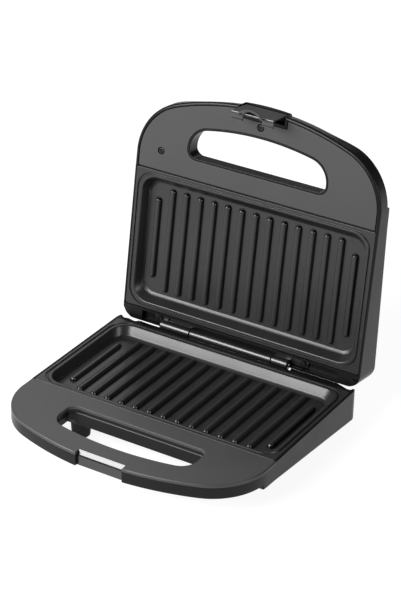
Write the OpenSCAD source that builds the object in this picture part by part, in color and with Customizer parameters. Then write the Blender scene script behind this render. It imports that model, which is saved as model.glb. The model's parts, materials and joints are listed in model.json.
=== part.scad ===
// Sandwich toaster with a hinged lid, a latch in the lid's grip and ribbed grill plates.
// It stands open, as in use. +X is right, -Y is the front with the grips, +Z is up.
// Both halves are drawn lying flat: y = 0 is the rear edge of the plates and z = 0 is the
// plane where the closed halves meet. at_base() and at_lid() put them in their places.

/* [Outer size] */
// Width over the casings
casing_w = 234; // [200:1:270]
// Depth of a grill plate's flange, front to back
plate_d = 126.1; // [110:0.1:150]
// Flat band between the plate and the hole of the grip
apron_d = 17.4; // [12:0.1:24]
// Depth of the hole of the grip, front to back
hole_d = 37; // [30:0.5:44]
// Width of the hole of the grip
hole_w = 130; // [100:1:140]
// Depth of the bar of the grip in front of the hole
grip_d = 22.5; // [20:0.5:30]
// Distance from the plate's rear edge to the rear wall's outer face
rear_reach = 12.5; // [11.5:0.1:14]
// Radius of the wide front arc of the casings
front_arc_r = 240; // [230:1:330]
// Radius of the front corners of the casings
corner_r = 52; // [40:0.5:58]
// Radius of the rear corners of the casings
rear_corner_r = 8; // [6:0.5:8]

/* [Heights] */
// Height of the parting plane above the table
parting_h = 33; // [31:0.5:40]
// Thickness of the lower grip
grip_t = 13.5; // [12:0.1:15]
// Depth of the lower casing at its front wall
body_front_h = 17.6; // [16:0.1:20]
// Depth of the lower casing at its rear wall
body_rear_h = 28.3; // [26:0.1:30]
// Thickness of the upper grip
lid_grip_t = 14; // [13:0.1:16]
// How far the lid's front wall leans in over the thickness of the grip
lid_lean = 2.3; // [0.5:0.1:3]
// Depth of the upper casing where the body starts
lid_front_h = 17.2; // [16:0.1:20]
// Depth of the upper casing at its rear wall
lid_rear_h = 28.6; // [26:0.1:30]
// Radius of the heel, between the rear wall and the outer face
heel_r = 9; // [9:0.5:12]
// Wall of the casings
wall = 2.2; // [1.8:0.1:2.8]
// Angle to which the lid opens
open_angle = 97.6; // [80:0.1:105]

/* [Grill plates] */
// Width of the casing's rim beside the plate
rim_w = 1.6; // [1.2:0.1:2.2]
// Gap between the plate's flange and the rim
rim_gap = 0.4; // [0.2:0.1:0.8]
// Thickness of the plate's flange
flange_t = 2.6; // [2:0.1:3]
// How far the flange lies behind the parting plane
flange_z = 0.2; // [0.15:0.05:0.8]
// Distance from the flange's edge to the groove round the recess
groove_in = 2.2; // [1.5:0.1:3]
// Width of the groove round the recess
groove_w = 2.4; // [1.5:0.1:2.8]
// Depth of the groove round the recess
groove_h = 0.9; // [0.5:0.1:1.3]
// Distance from the flange's side edge to the recess
recess_side = 7.5; // [6.5:0.1:12]
// Distance from the flange's front and rear edges to the recess
recess_end = 6.4; // [5.8:0.1:10]
// Depth of the recess's floor behind the parting plane
recess_h = 9.5; // [8:0.1:10.5]
// How far the recess's side walls lean in, from the top to the floor
lean_side = 2.8; // [1:0.1:6]
// How far the recess's front and rear walls lean in
lean_end = 4.6; // [1:0.1:6]
// Radius of the recess's corners
recess_r = 14; // [6:0.5:20]
// Thickness of the plate's floor
floor_t = 2; // [1.5:0.1:2.5]
// Distance between ribs
rib_pitch = 13.63; // [11:0.01:18]
// Width of a rib at its foot
rib_w = 5.4; // [4:0.1:7]
// Width of a rib at its top
rib_top_w = 3; // [2:0.1:4]
// Height of a rib
rib_h = 3.3; // [2:0.1:4.5]
// Distance from the recess's top edge to the end of a long rib
rib_end = 10; // [8:0.1:16]
// How much shorter the outermost ribs are at each end
short_rib = 10.6; // [0:0.1:16]
// Height of the studs under the plate that carry the heat shield
stud_h = 6.3; // [6.1:0.1:6.5]
// Radius of the studs under the plate
stud_r = 4; // [3:0.5:6]

/* [Hinge] */
// Distance of the hinge pin behind the plate's rear edge
hinge_y = 10.1; // [9:0.1:11]
// Radius of the hinge barrels
barrel_r = 4.6; // [4:0.1:5]
// Radius of the hinge pin
pin_r = 1.6; // [1.2:0.1:2]
// Radial clearance round the pins
pin_play = 0.05; // [0.02:0.01:0.08]
// Left end of the left knuckle
knuckle_x0 = -76; // [-84:0.5:-66]
// Left end of the middle barrel
barrel_x0 = -46; // [-54:0.5:-36]
// Right end of the middle barrel
barrel_x1 = 34.5; // [26:0.5:42]
// Right end of the right knuckle
knuckle_x1 = 50.5; // [46:0.5:60]
// Gap between neighbouring barrels
barrel_gap = 0.5; // [0.3:0.1:1]
// Length of the tab on the left hinge ear
left_tab = 9; // [7:0.5:12]
// Length of the tab on the right hinge ear
right_tab = 16.5; // [12:0.5:20]

/* [Latch] */
// Width of the latch
latch_w = 40; // [30:1:46]
// Gap at each side of the latch in its notch
latch_side = 1.8; // [0.8:0.1:2.5]
// Height of the latch pin above the parting plane
latch_pin_z = 7.6; // [6.5:0.1:8]
// Distance of the latch pin behind the front of the grip
latch_pin_back = 5.3; // [5.1:0.1:6]
// Radius of the latch's boss round its pin
latch_boss_r = 3; // [2.6:0.1:3.2]
// Radius of the latch pin
latch_pin_r = 1.5; // [1.2:0.1:1.8]
// Depth of the notch in the lower grip that the latch drops into
notch_d = 3.5; // [3:0.1:4.2]
// Clearance between the closed latch and the notch
latch_play = 0.3; // [0.2:0.05:0.6]
// How far the hooks reach under the grip
hook_reach = 5.3; // [3:0.1:7]
// Thickness of the hooks
hook_t = 2.5; // [2:0.1:3.5]
// Length of the finger tab below the hooks
tab_drop = 4.8; // [3:0.1:7]
// Half width of the arched finger tab
tab_half_w = 12; // [8:0.5:14]
// Outer radius of the arch of the finger tab
tab_r = 15.8; // [13:0.1:20]

/* [Feet and inlet] */
// Distance of the front feet's axes from the casing's sides
front_foot_side = 53.6; // [40:0.1:70]
// Radius of a front foot at its top
front_foot_r1 = 8.6; // [7:0.1:10]
// Radius of a front foot at its sole
front_foot_r0 = 7.8; // [6:0.1:9]
// Distance of the rear feet's axes from the casing's sides
rear_foot_side = 29; // [18:0.5:45]
// Radius of a rear foot
rear_foot_r = 8; // [6:0.1:10]
// Distance of the cable inlet's axis from the casing's right side
inlet_side = 37; // [27:0.5:45]
// Radius of the bore of the cable inlet
inlet_r = 3.5; // [3:0.1:4]

/* [Inside] */
// Radius of the heating rods
rod_r = 3; // [2.5:0.1:3.3]
// Distance of the front run of a heating rod from the plate's front edge
rod_front = 34; // [30:0.5:40]
// Distance of the rear run of a heating rod from the plate's rear edge
rod_rear = 38; // [34:0.5:44]
// Distance of the heating rod's bend from the middle
rod_bend_x = 52; // [40:0.5:60]
// Distance of the heating rod's ends from the middle
rod_end_x = 96; // [90:0.5:98]
// Radius of the shaft of a casing screw
screw_r = 1.4; // [1.2:0.1:1.6]
// Radius of the head of a casing screw
head_r = 2.8; // [2.4:0.1:3.2]
// Radius of the lamp lenses on the lid
lens_r = 4; // [3:0.1:5]
// Distance of each lamp lens from the middle
lens_x = 11; // [8:0.5:16]

/* [Hidden] */
$fn = 60;

black = [0.09, 0.09, 0.095];
grey = [0.25, 0.25, 0.25];
coating = [0.16, 0.16, 0.165];
steel = [0.75, 0.76, 0.78];
rubber = [0.05, 0.05, 0.05];

// Overlap of cutting shapes beyond the surfaces that they cut
eps = 1;
// Gap left on each half between faces that meet when the lid is closed
meet = 0.15;
// Height of cutting and clipping shapes
tall = 60;

// Outlines
plate_w = casing_w - 2 * (rim_w + rim_gap);
body_front = -(plate_d + apron_d);
reach = plate_d + apron_d + hole_d + grip_d;
hole_arc_r = 250.5;
hole_corner_r = 15;
hole_back_r = 7;
seam = 0.5;
cover_back = -(plate_d + seam);
cover_t = 3;
panel_t = 2.2;
panel_z = 0.45;
// How far the panel's outline lies inside the casing's
panel_in = 3;
panel_gap = 0.3;
// Width and thickness of the ledges that carry plates and covers
ledge_w = 2.5;
ledge_t = 2.2;
// Ribs that carry the ledge between plate and grip
bar_rib_x = 45;
// Grill plate and what hangs below it
seat_z = flange_z + flange_t;
ledge_z = seat_z + ledge_t;
pan_z = recess_h + floor_t;
recess_x = plate_w / 2 - recess_side;
recess_y0 = -(plate_d - recess_end);
recess_y1 = -recess_end;
pan_gap = 1;
rod_z = pan_z + rod_r;
rod_y0 = -(plate_d - rod_front);
rod_y1 = -rod_rear;
rod_mid = (rod_y0 + rod_y1) / 2;
rod_bend_r = (rod_y1 - rod_y0) / 2;
clamp_t = 0.8;
clamp_w = 8;
clamp_x = [-64, 24];
shield_z = pan_z + stud_h;
shield_t = 0.5;
shield_y0 = rod_y0 - rod_r - 5;
shield_y1 = -8;
shield_x = recess_x - 7.5;
stud_x = [-84, -28, 28];
lug_x = recess_x - 27.5;
lug_w = 10;
lug_reach = 8.5;
lug_t = 1.8;
lug_gap = 0.2;
tongue_x = recess_x - 23.5;
tongue_w = 12;
tongue_t = 1.6;
fit_gap = 0.3;
screw_head_t = 1.6;
lug_z = cover_t + screw_head_t + lug_gap;
lug_screw_y = cover_back - lug_reach / 2;
// Trough of the hinge
trough_x = 97;
trough_y = 2.6;
trough_t = 2;
trough_z = barrel_r + 0.7;
trough_floor = 2.2;
scoop_r = 4.2;
tab_t = 2;
ear_screw_y = (trough_y + hinge_y) / 2;
bracket_screw_x = [-28, 16];
bracket_screw_y = rear_reach - wall - head_r - 0.2;
body_tilt = atan((body_rear_h - body_front_h) / (rear_reach - heel_r - body_front));
lid_tilt = atan((lid_rear_h - lid_front_h) / (rear_reach - heel_r - body_front));
// Latch
latch_y = -(reach - latch_pin_back);
notch_w = latch_w + 2 * latch_side;
notch_y = -(reach - notch_d);
latch_inner_y = notch_y - latch_play;
latch_t = 1.6;
latch_front_y = latch_inner_y - latch_t;
hook_z = grip_t + 0.25;
nose_z = hook_z + hook_t;
hook_y = notch_y + hook_reach;
hook_x = 9;
ramp_run = 3;
ramp_h = 4.6;
boss_gap = 0.35;
lid_notch_h = latch_pin_z + latch_boss_r + boss_gap;
lid_notch_y = latch_y + latch_boss_r + boss_gap;
tab_cy = latch_front_y + sqrt(tab_r * tab_r - tab_half_w * tab_half_w);
tab_z = nose_z + tab_drop;
tab_slope = 0.466;
// Screws of the covers, in the lower half's terms: the lid's come from its panel
side_screw_x = casing_w / 2 - 24.5;
cover_screw_xy = [[-side_screw_x, body_front - 1], [0, notch_y + 11], [side_screw_x, body_front - 1]];
panel_screw_xy = [[-side_screw_x, body_front - 1], [0, body_front - hole_d - 6.5], [side_screw_x, body_front - 1]];
post_r = 4;
peg_r = 2.5;
front_foot_x = casing_w / 2 - front_foot_side;
rear_foot_x = casing_w / 2 - rear_foot_side;
front_foot_y = body_front + 10.5;
rear_foot_y = -20;
latch_pin_w = notch_w + 2 * wall - 0.4;
ear_screw_x = [knuckle_x0 - left_tab + 4.7, knuckle_x1 + right_tab - 4.7];
thermostat_r = 8;
thermostat_h = 7.5;
fuse_x = 50;
fuse_l = 14;
fuse_r = 1.8;
// Bite out of the corner blocks, behind the plate's rear corners
bite_r = 8.5;
bite_z = 2;
bite_x = trough_x + bite_r;
cover_head_z = grip_t - 3.1;
cover_post_z = cover_head_z - 2.4;
cover_screw_l = 8;
panel_post_z = 4.6;
panel_head_z = 2.4;
panel_screw_l = 8;
plate_screw_l = 6;
// Inlet
inlet_x = casing_w / 2 - inlet_side;
inlet_z = 13.4;
gland_flange_r = inlet_r + 2.3;
gland_body_r = inlet_r + 1.1;
gland_t = 1.8;
block_x0 = inlet_x - 44;
block_w = 26;
block_y0 = -5;
block_y1 = 8;
block_z = 14;
block_pad_z = 24;
// Earth tag under the lower plate
tag_x = 60;
tag_w = 12;
tag_y = -20;
tag_d = 6;
tag_t = 0.8;
tag_h = 5;
// Lamps
lens_y = body_front + 9.5;
board_z = 8.5;
board_t = 1.5;
board_half_w = 27;
board_half_d = 5.5;
board_screw_l = 6;
lamp_l = 6.5;
board_post_x = 22;
lamp_r = 2.2;
lens_wall = 0.9;
// Bounding box of the standing part, front and back
back_top = hinge_y - (hinge_y + reach - lid_lean) * cos(open_angle) + lid_grip_t * sin(open_angle);
notch_sag = front_arc_r - sqrt(pow(front_arc_r, 2) - pow(notch_w / 2, 2));
shift_y = (reach - notch_sag - back_top) / 2;

// ---- places ----

module at_base() {
  translate([0, shift_y, parting_h]) children();
}

// The upper half is drawn lying closed on the lower half and swung open here
module at_lid() {
  translate([0, shift_y + hinge_y, parting_h]) rotate([-open_angle, 0, 0])
    translate([0, -hinge_y, 0]) children();
}

// Turns a form that hangs below the parting plane into one that stands on it
module flip() {
  mirror([0, 0, 1]) children();
}

// ---- outlines ----

// What to take off to round a corner: between the directions a0 and a1 from the arc's centre c
module corner_waste(c, r, a0, a1) {
  far = 3 * r;
  mid = (a0 + a1) / 2;
  difference() {
    polygon([c, c + far * [cos(a0), sin(a0)], c + 2 * far * [cos(mid), sin(mid)],
      c + far * [cos(a1), sin(a1)]]);
    translate(c) circle(r = r);
  }
}

// A D: straight sides, a wide front arc that reaches y = -front, round front and rear corners
module d_outline(half_w, front, arc_r, front_r, back_y, back_r) {
  arc_cy = arc_r - front;
  cx = half_w - front_r;
  a = acos(cx / (arc_r - front_r));
  cy = arc_cy - (arc_r - front_r) * sin(a);
  difference() {
    intersection() {
      translate([0, arc_cy]) circle(r = arc_r, $fn = 240);
      translate([-half_w, -2 * arc_r]) square([2 * half_w, back_y + 2 * arc_r]);
    }
    corner_waste([cx, cy], front_r, 0, -a);
    corner_waste([-cx, cy], front_r, 180, 180 + a);
    corner_waste([half_w - back_r, back_y - back_r], back_r, 0, 90);
    corner_waste([-half_w + back_r, back_y - back_r], back_r, 90, 180);
  }
}

module plan(inset = 0) {
  d_outline(casing_w / 2 - inset, reach - inset, front_arc_r - inset, corner_r - inset, rear_reach - inset,
    rear_corner_r - inset);
}

module hole_plan(grow = 0) {
  d_outline(hole_w / 2 + grow, reach - grip_d + grow, hole_arc_r + grow, hole_corner_r + grow,
    body_front + grow, hole_back_r + grow);
}

// The part of an outline in front of the grill plate
module in_front(y = cover_back) {
  intersection() {
    children();
    translate([-casing_w, -2 * casing_w]) square([2 * casing_w, 2 * casing_w + y]);
  }
}

module panel_plan(grow = 0) {
  in_front(cover_back + grow - (grow > 0 ? grow : 0))
    d_outline(casing_w / 2 - panel_in + grow, reach - panel_in + grow, front_arc_r - panel_in + grow,
      corner_r - panel_in + grow, rear_reach, rear_corner_r);
}

module round_rect(half_w, y0, y1, r) {
  for (s = [-1, 1], y = [y0 + r, y1 - r]) translate([s * (half_w - r), y]) circle(r = r);
  translate([-half_w, y0 + r]) square([2 * half_w, y1 - y0 - 2 * r]);
  translate([-half_w + r, y0]) square([2 * half_w - 2 * r, y1 - y0]);
}

// ---- the halves' outer forms, all drawn hanging below the parting plane ----

// Side view of a half: grip, step, sloping body and round heel; t takes a wall off
module side_profile(grip_h, front_h, tilt, t = 0) {
  heel_y = rear_reach - heel_r;
  y0 = rear_reach - t;
  up = t > 0 ? 3 * eps : eps;
  heel_z = -(front_h - t + (heel_y - body_front) * tan(tilt)) + (heel_r - t) / cos(tilt);
  difference() {
    polygon([[-reach - eps, up], [-reach - eps, -(grip_h - t)], [body_front + t, -(grip_h - t)],
      [body_front + t, -(front_h - t + t * tan(tilt))],
      [y0, -(front_h - t + (y0 - body_front) * tan(tilt))], [y0, up]]);
    corner_waste([heel_y, heel_z], heel_r - t, 0, -90 - tilt);
  }
}

module along_x(w) {
  rotate([90, 0, 90]) linear_extrude(w, center = true) children();
}

module half_form(grip_h, front_h, tilt, t = 0) {
  intersection() {
    translate([0, 0, -tall]) linear_extrude(tall + (t > 0 ? 2 * eps : 1.5 * eps)) plan(t);
    along_x(casing_w + 2 * eps) side_profile(grip_h, front_h, tilt, t);
  }
}

// A cone that lets the lid's front wall lean in, towards its outer face
module lid_cone(t) {
  slope = lid_lean / lid_grip_t;
  translate([0, front_arc_r - reach, -tall]) cylinder(r1 = front_arc_r - t - slope * tall,
    r2 = front_arc_r - t + slope * 3 * eps, h = tall + 3 * eps, $fn = 240);
}

module lower_form(t = 0) {
  half_form(grip_t, body_front_h, body_tilt, t);
}

module upper_form(t = 0) {
  intersection() {
    half_form(lid_grip_t, lid_front_h, lid_tilt, t);
    lid_cone(t);
  }
}

// A block from z0 down to z1 below the parting plane and from y0 back to y1
module block(x0, x1, y0, y1, z0, z1) {
  translate([x0, y0, -z1]) cube([x1 - x0, y1 - y0, z1 - z0]);
}

module prism(z0, z1) {
  translate([0, 0, -z1]) linear_extrude(z1 - z0) children();
}

module rod(x, y, z0, z1, r) {
  translate([x, y, -z1]) cylinder(r = r, h = z1 - z0);
}

// ---- forms that both halves share ----

// What a casing needs beside its shell: the ledges, the trough and the corner blocks
module casing_inside() {
  difference() {
    prism(meet, ledge_z) plan();
    block(-recess_x - floor_t - pan_gap, recess_x + floor_t + pan_gap, recess_y0 - floor_t - pan_gap,
      recess_y1 + floor_t + pan_gap, -eps, tall);
    prism(-eps, tall) in_front(cover_back - ledge_w) children();
  }
  prism(meet, tall) hole_plan(wall);
  for (s = [-1, 1]) block(s * bar_rib_x - 1, s * bar_rib_x + 1, body_front + wall / 2,
    recess_y0 - floor_t - pan_gap, ledge_z - ledge_t / 2, tall);
  block(-casing_w, casing_w, 0.6, trough_y, meet, trough_z + trough_floor);
  block(-casing_w, casing_w, 0.6, rear_reach, trough_z, trough_z + trough_floor);
  for (s = [-1, 1]) {
    translate([s * (trough_x + casing_w / 2), 0, 0])
      block(-casing_w / 2, casing_w / 2, 0.6, rear_reach, meet, trough_z + trough_floor);
    rod(s * lug_x, lug_screw_y, lug_z + lug_t, tall, post_r);
  }
}

// Cuts for the hole, the plate and its lugs, and the hinge
module casing_cuts() {
  prism(-eps, tall) hole_plan();
  block(-casing_w, casing_w, -2 * casing_w, casing_w, -2 * eps, meet);
  prism(-eps, seat_z) round_rect(plate_w / 2 + rim_gap, cover_back - eps, 0.6, 2);
  block(-trough_x, trough_x, trough_y, 2 * rear_reach, -eps, trough_z - 1.9);
  block(-trough_x, trough_x, trough_y, rear_reach - wall, -eps, trough_z);
  block(knuckle_x0 - 1.5, knuckle_x1 + 1.5, trough_y, 2 * rear_reach, -eps, trough_z);
  block(-casing_w, casing_w, hinge_y, 2 * rear_reach, -eps, scoop_r - eps);
  translate([0, hinge_y, 0]) rotate([0, 90, 0]) cylinder(r = scoop_r, h = 2 * casing_w, center = true);
  for (s = [-1, 1]) {
    translate([s * bite_x, trough_y, bite_z]) rotate([-90, 0, 0]) cylinder(r = bite_r, h = 2 * rear_reach);
    block(s * lug_x - lug_w / 2 - fit_gap, s * lug_x + lug_w / 2 + fit_gap,
      cover_back - lug_reach - fit_gap, recess_y0, -eps, lug_z + lug_t);
    block(s * tongue_x - tongue_w / 2 - fit_gap, s * tongue_x + tongue_w / 2 + fit_gap, -3,
      trough_y + eps, -eps, seat_z + tongue_t);
    rod(s * lug_x, lug_screw_y, 0, lug_z + plate_screw_l, screw_r);
  }
}

// A plate's recess, grown outwards by t
module recess_box(t = 0) {
  h = recess_h + t;
  up = 5;
  intersection() {
    along_x(plate_w) polygon([
      [recess_y0 - t - lean_end * up / recess_h, up], [recess_y0 - t + lean_end * h / recess_h, -h],
      [recess_y1 + t - lean_end * h / recess_h, -h], [recess_y1 + t + lean_end * up / recess_h, up]]);
    rotate([90, 0, 0]) linear_extrude(4 * plate_d, center = true) polygon([
      [-recess_x - t - lean_side * up / recess_h, up], [-recess_x - t + lean_side * h / recess_h, -h],
      [recess_x + t - lean_side * h / recess_h, -h], [recess_x + t + lean_side * up / recess_h, up]]);
    prism(-up, h) round_rect(recess_x + t, recess_y0 - t, recess_y1 + t, recess_r + t);
  }
}

module rib(x, y0, y1) {
  for (y = [y0, y1]) translate([x, y, -recess_h]) cylinder(r1 = rib_w / 2, r2 = rib_top_w / 2, h = rib_h);
  translate([x, y1, -recess_h]) rotate([90, 0, 0]) linear_extrude(y1 - y0)
    polygon([[-rib_w / 2, 0], [rib_w / 2, 0], [rib_top_w / 2, rib_h], [-rib_top_w / 2, rib_h]]);
}

// A grill plate: flange with groove, ribbed recess, studs, front lugs and rear tongues
module grill_plate() {
  difference() {
    union() {
      prism(flange_z, seat_z) round_rect(plate_w / 2, -plate_d, 0, 1.6);
      intersection() {
        recess_box(floor_t);
        block(-plate_w, plate_w, -2 * plate_d, plate_d, flange_z, pan_z);
      }
      for (x = stud_x) rod(x, rod_mid, pan_z - floor_t / 2, shield_z, stud_r);
      for (s = [-1, 1]) {
        block(s * lug_x - lug_w / 2, s * lug_x + lug_w / 2, cover_back - lug_reach, recess_y0 - floor_t / 2,
          lug_z, lug_z + lug_t);
        block(s * lug_x - lug_w / 2, s * lug_x + lug_w / 2, -plate_d + 0.2, recess_y0 - floor_t / 2,
          seat_z - eps, lug_z + lug_t);
        block(s * tongue_x - tongue_w / 2, s * tongue_x + tongue_w / 2, -3, trough_y - 0.2,
          seat_z, seat_z + tongue_t);
      }
    }
    recess_box();
    difference() {
      prism(-eps, flange_z + groove_h) round_rect(plate_w / 2 - groove_in, -(plate_d - groove_in),
        -groove_in, recess_r);
      prism(-2 * eps, tall) round_rect(plate_w / 2 - groove_in - groove_w,
        -(plate_d - groove_in - groove_w * 0.75), -groove_in - groove_w * 0.75, recess_r - groove_w / 2);
    }
    for (x = stud_x) rod(x, rod_mid, shield_z - 4, shield_z + eps, screw_r);
    for (s = [-1, 1]) rod(s * lug_x, lug_screw_y, 0, tall, screw_r);
  }
  for (i = [-6:6]) rib(i * rib_pitch, recess_y0 + rib_end + 2, recess_y1 - rib_end - 2);
  for (s = [-1, 1]) rib(s * 7 * rib_pitch, recess_y0 + rib_end + short_rib + 2,
    recess_y1 - rib_end - short_rib - 2);
}

module heater() {
  for (y = [rod_y0, rod_y1]) {
    translate([-rod_end_x, y, -rod_z]) rotate([0, 90, 0]) cylinder(r = rod_r, h = rod_end_x + rod_bend_x);
    translate([-rod_end_x - 7, y, -rod_z]) rotate([0, 90, 0]) cylinder(r = 1.2, h = 8);
  }
  translate([rod_bend_x, rod_mid, -rod_z]) rotate([0, 0, -90]) rotate_extrude(angle = 180)
    translate([rod_bend_r, 0]) circle(r = rod_r);
}

module heater_clamp(x, y) {
  w = clamp_w;
  outer = rod_r + clamp_t;
  translate([x, y, 0]) difference() {
    union() {
      translate([-w / 2, 0, -rod_z]) rotate([0, 90, 0]) cylinder(r = outer, h = w);
      block(-w / 2, w / 2, -outer, outer, pan_z, rod_z);
      block(-w / 2, w / 2, -outer - 4, outer + 4, pan_z, pan_z + 1);
    }
    translate([-w, 0, -rod_z]) rotate([0, 90, 0]) cylinder(r = rod_r, h = 2 * w);
    block(-w, w, -rod_r, rod_r, pan_z - eps, rod_z);
    block(-w, w, -outer - 5, outer + 5, 0, pan_z);
  }
}

module heater_clamps() {
  for (x = clamp_x, y = [rod_y0, rod_y1]) heater_clamp(x, y);
}

module heat_shield(window_x = 0, window_r = 0) {
  difference() {
    prism(shield_z, shield_z + shield_t) round_rect(shield_x, shield_y0, shield_y1, 6);
    for (x = stud_x) rod(x, rod_mid, 0, tall, screw_r);
    for (x = clamp_x, y = [rod_y0, rod_y1]) block(x - clamp_w / 2 - 1, x + clamp_w / 2 + 1, y - rod_r, y + rod_r, 0, tall);
    if (window_r > 0) rod(window_x, rod_mid, 0, tall, window_r);
  }
}

// A screw: its head rests on depth z, towards the parting plane, or away from it if dir is -1
module screw(x, y, z, length, dir = 1) {
  translate([x, y, -z]) rotate([dir > 0 ? 0 : 180, 0, 0]) {
    difference() {
      cylinder(r = head_r, h = screw_head_t);
      translate([0, 0, screw_head_t]) {
        cube([3.6, 0.8, 1.6], center = true);
        cube([0.8, 3.6, 1.6], center = true);
      }
    }
    translate([0, 0, -length]) cylinder(r = screw_r, h = length + 0.5);
  }
}

module shield_screws() {
  for (x = stud_x) screw(x, rod_mid, shield_z + shield_t, 3.6, -1);
}

module plate_screws() {
  for (s = [-1, 1]) screw(s * lug_x, lug_screw_y, lug_z, plate_screw_l);
}

module x_cylinder(x0, x1, y, z, r) {
  translate([x0, y, -z]) rotate([0, 90, 0]) cylinder(r = r, h = x1 - x0);
}

module ramp() {
  along_x(notch_w) polygon([[notch_y + ramp_run, -meet], [notch_y + ramp_run, eps], [notch_y - eps, eps],
    [notch_y - eps, -ramp_h], [notch_y, -ramp_h]]);
}

// ---- base ----

module lower_casing() {
  color(black) at_base() difference() {
    union() {
      difference() {
        lower_form();
        lower_form(wall);
      }
      intersection() {
        lower_form();
        union() {
          casing_inside() plan(wall + ledge_w);
          block(-notch_w / 2 - wall, notch_w / 2 + wall, -2 * reach, notch_y + ramp_run + wall, meet, tall);
          for (p = cover_screw_xy) rod(p[0], p[1], cover_post_z, tall, post_r + 1);
          block(block_x0, block_x0 + block_w, block_y0, block_y1, block_pad_z, tall);
        }
      }
    }
    casing_cuts();
    block(-casing_w, casing_w, -2 * casing_w, cover_back, -eps, cover_t);
    block(-notch_w / 2, notch_w / 2, -2 * reach, notch_y, -eps, tall);
    ramp();
    for (p = cover_screw_xy) {
      rod(p[0], p[1], cover_head_z, tall, head_r + 0.4);
      rod(p[0], p[1], 0, tall, screw_r);
    }
    for (s = [-1, 1]) {
      rod(s * front_foot_x, front_foot_y, grip_t, tall, peg_r);
      rod(s * rear_foot_x, rear_foot_y, grip_t, tall, peg_r);
    }
    for (x = bracket_screw_x) rod(x, bracket_screw_y, 0, trough_z + trough_floor + eps, screw_r);
    translate([inlet_x, rear_reach - wall - eps, -inlet_z]) rotate([-90, 0, 0])
      cylinder(r = gland_body_r, h = wall + 2 * eps);
  }
}

module handle_cover() {
  color(black) at_base() difference() {
    union() {
      prism(meet, cover_t) in_front() plan();
      for (p = cover_screw_xy) rod(p[0], p[1], cover_t - 0.5, cover_post_z, post_r);
    }
    prism(-eps, tall) hole_plan();
    block(-notch_w / 2, notch_w / 2, -2 * reach, notch_y, -eps, tall);
    ramp();
    for (p = cover_screw_xy) rod(p[0], p[1], cover_head_z - cover_screw_l, tall, screw_r);
  }
}

module lower_grill_plate() {
  color(coating) at_base() grill_plate();
}

module lower_heater() {
  color(steel) at_base() heater();
}

module lower_heater_clamps() {
  color(steel) at_base() heater_clamps();
}

module lower_heat_shield() {
  color(steel) at_base() heat_shield();
}

module lower_shield_screws() {
  color(steel) at_base() shield_screws();
}

module lower_plate_screws() {
  color(steel) at_base() plate_screws();
}

module handle_cover_screws() {
  color(steel) at_base() for (p = cover_screw_xy) screw(p[0], p[1], cover_head_z, cover_screw_l, -1);
}

module foot(x, y, r0, r1) {
  difference() {
    translate([x, y, -parting_h]) cylinder(r1 = r0, r2 = r1, h = parting_h - grip_t);
    lower_form();
  }
  rod(x, y, body_front_h - wall + (y - body_front) * tan(body_tilt) - 0.5, parting_h - 2, peg_r);
}

module front_feet() {
  color(rubber) at_base() for (s = [-1, 1]) foot(s * front_foot_x, front_foot_y, front_foot_r0, front_foot_r1);
}

module rear_feet() {
  color(rubber) at_base() for (s = [-1, 1]) foot(s * rear_foot_x, rear_foot_y, rear_foot_r, rear_foot_r);
}

module hinge_bracket() {
  color(black) at_base() difference() {
    union() {
      x_cylinder(barrel_x0, barrel_x1, hinge_y, 0, barrel_r);
      block(barrel_x0, barrel_x1, hinge_y - barrel_r, hinge_y, 1, trough_z);
    }
    x_cylinder(barrel_x0 - eps, barrel_x1 + eps, hinge_y, 0, pin_r);
    for (x = bracket_screw_x) rod(x, bracket_screw_y, trough_z - 2.6, trough_z + eps, screw_r);
  }
}

module hinge_pin() {
  color(steel) at_base() x_cylinder(knuckle_x0 - 1, knuckle_x1 + 1, hinge_y, 0, pin_r);
}

module hinge_bracket_screws() {
  color(steel) at_base() for (x = bracket_screw_x)
    screw(x, bracket_screw_y, trough_z + trough_floor, trough_floor + 2.6, -1);
}

module cable_gland() {
  color(black) at_base() translate([inlet_x, rear_reach, -inlet_z]) rotate([-90, 0, 0]) difference() {
    union() {
      cylinder(r = gland_flange_r, h = gland_t);
      translate([0, 0, -wall]) cylinder(r = gland_body_r, h = wall + eps);
      translate([0, 0, -wall - gland_t]) cylinder(r = gland_flange_r, h = gland_t);
    }
    translate([0, 0, -wall - gland_t - eps]) cylinder(r = inlet_r, h = wall + 2 * gland_t + 2 * eps);
  }
}

module terminal_block() {
  color(grey) at_base() difference() {
    block(block_x0, block_x0 + block_w, block_y0, block_y1, block_z, block_pad_z);
    for (i = [-1:1]) {
      rod(block_x0 + block_w / 2 + i * 8, (block_y0 + block_y1) / 2, block_z - eps, block_z + 5, 1.8);
      translate([block_x0 + block_w / 2 + i * 8, block_y0 - eps, -block_z - 6.5]) rotate([-90, 0, 0])
        cylinder(r = 1.6, h = block_y1 - block_y0 + 2 * eps);
    }
  }
}

module earth_tag() {
  color(steel) at_base() difference() {
    union() {
      block(tag_x, tag_x + tag_w, tag_y, tag_y + tag_d, pan_z, pan_z + tag_t);
      block(tag_x, tag_x + tag_t, tag_y, tag_y + tag_d, pan_z, pan_z + tag_h);
    }
    rod(tag_x + tag_w * 0.6, tag_y + tag_d / 2, 0, tall, 1.2);
  }
}

// ---- lid ----

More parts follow.
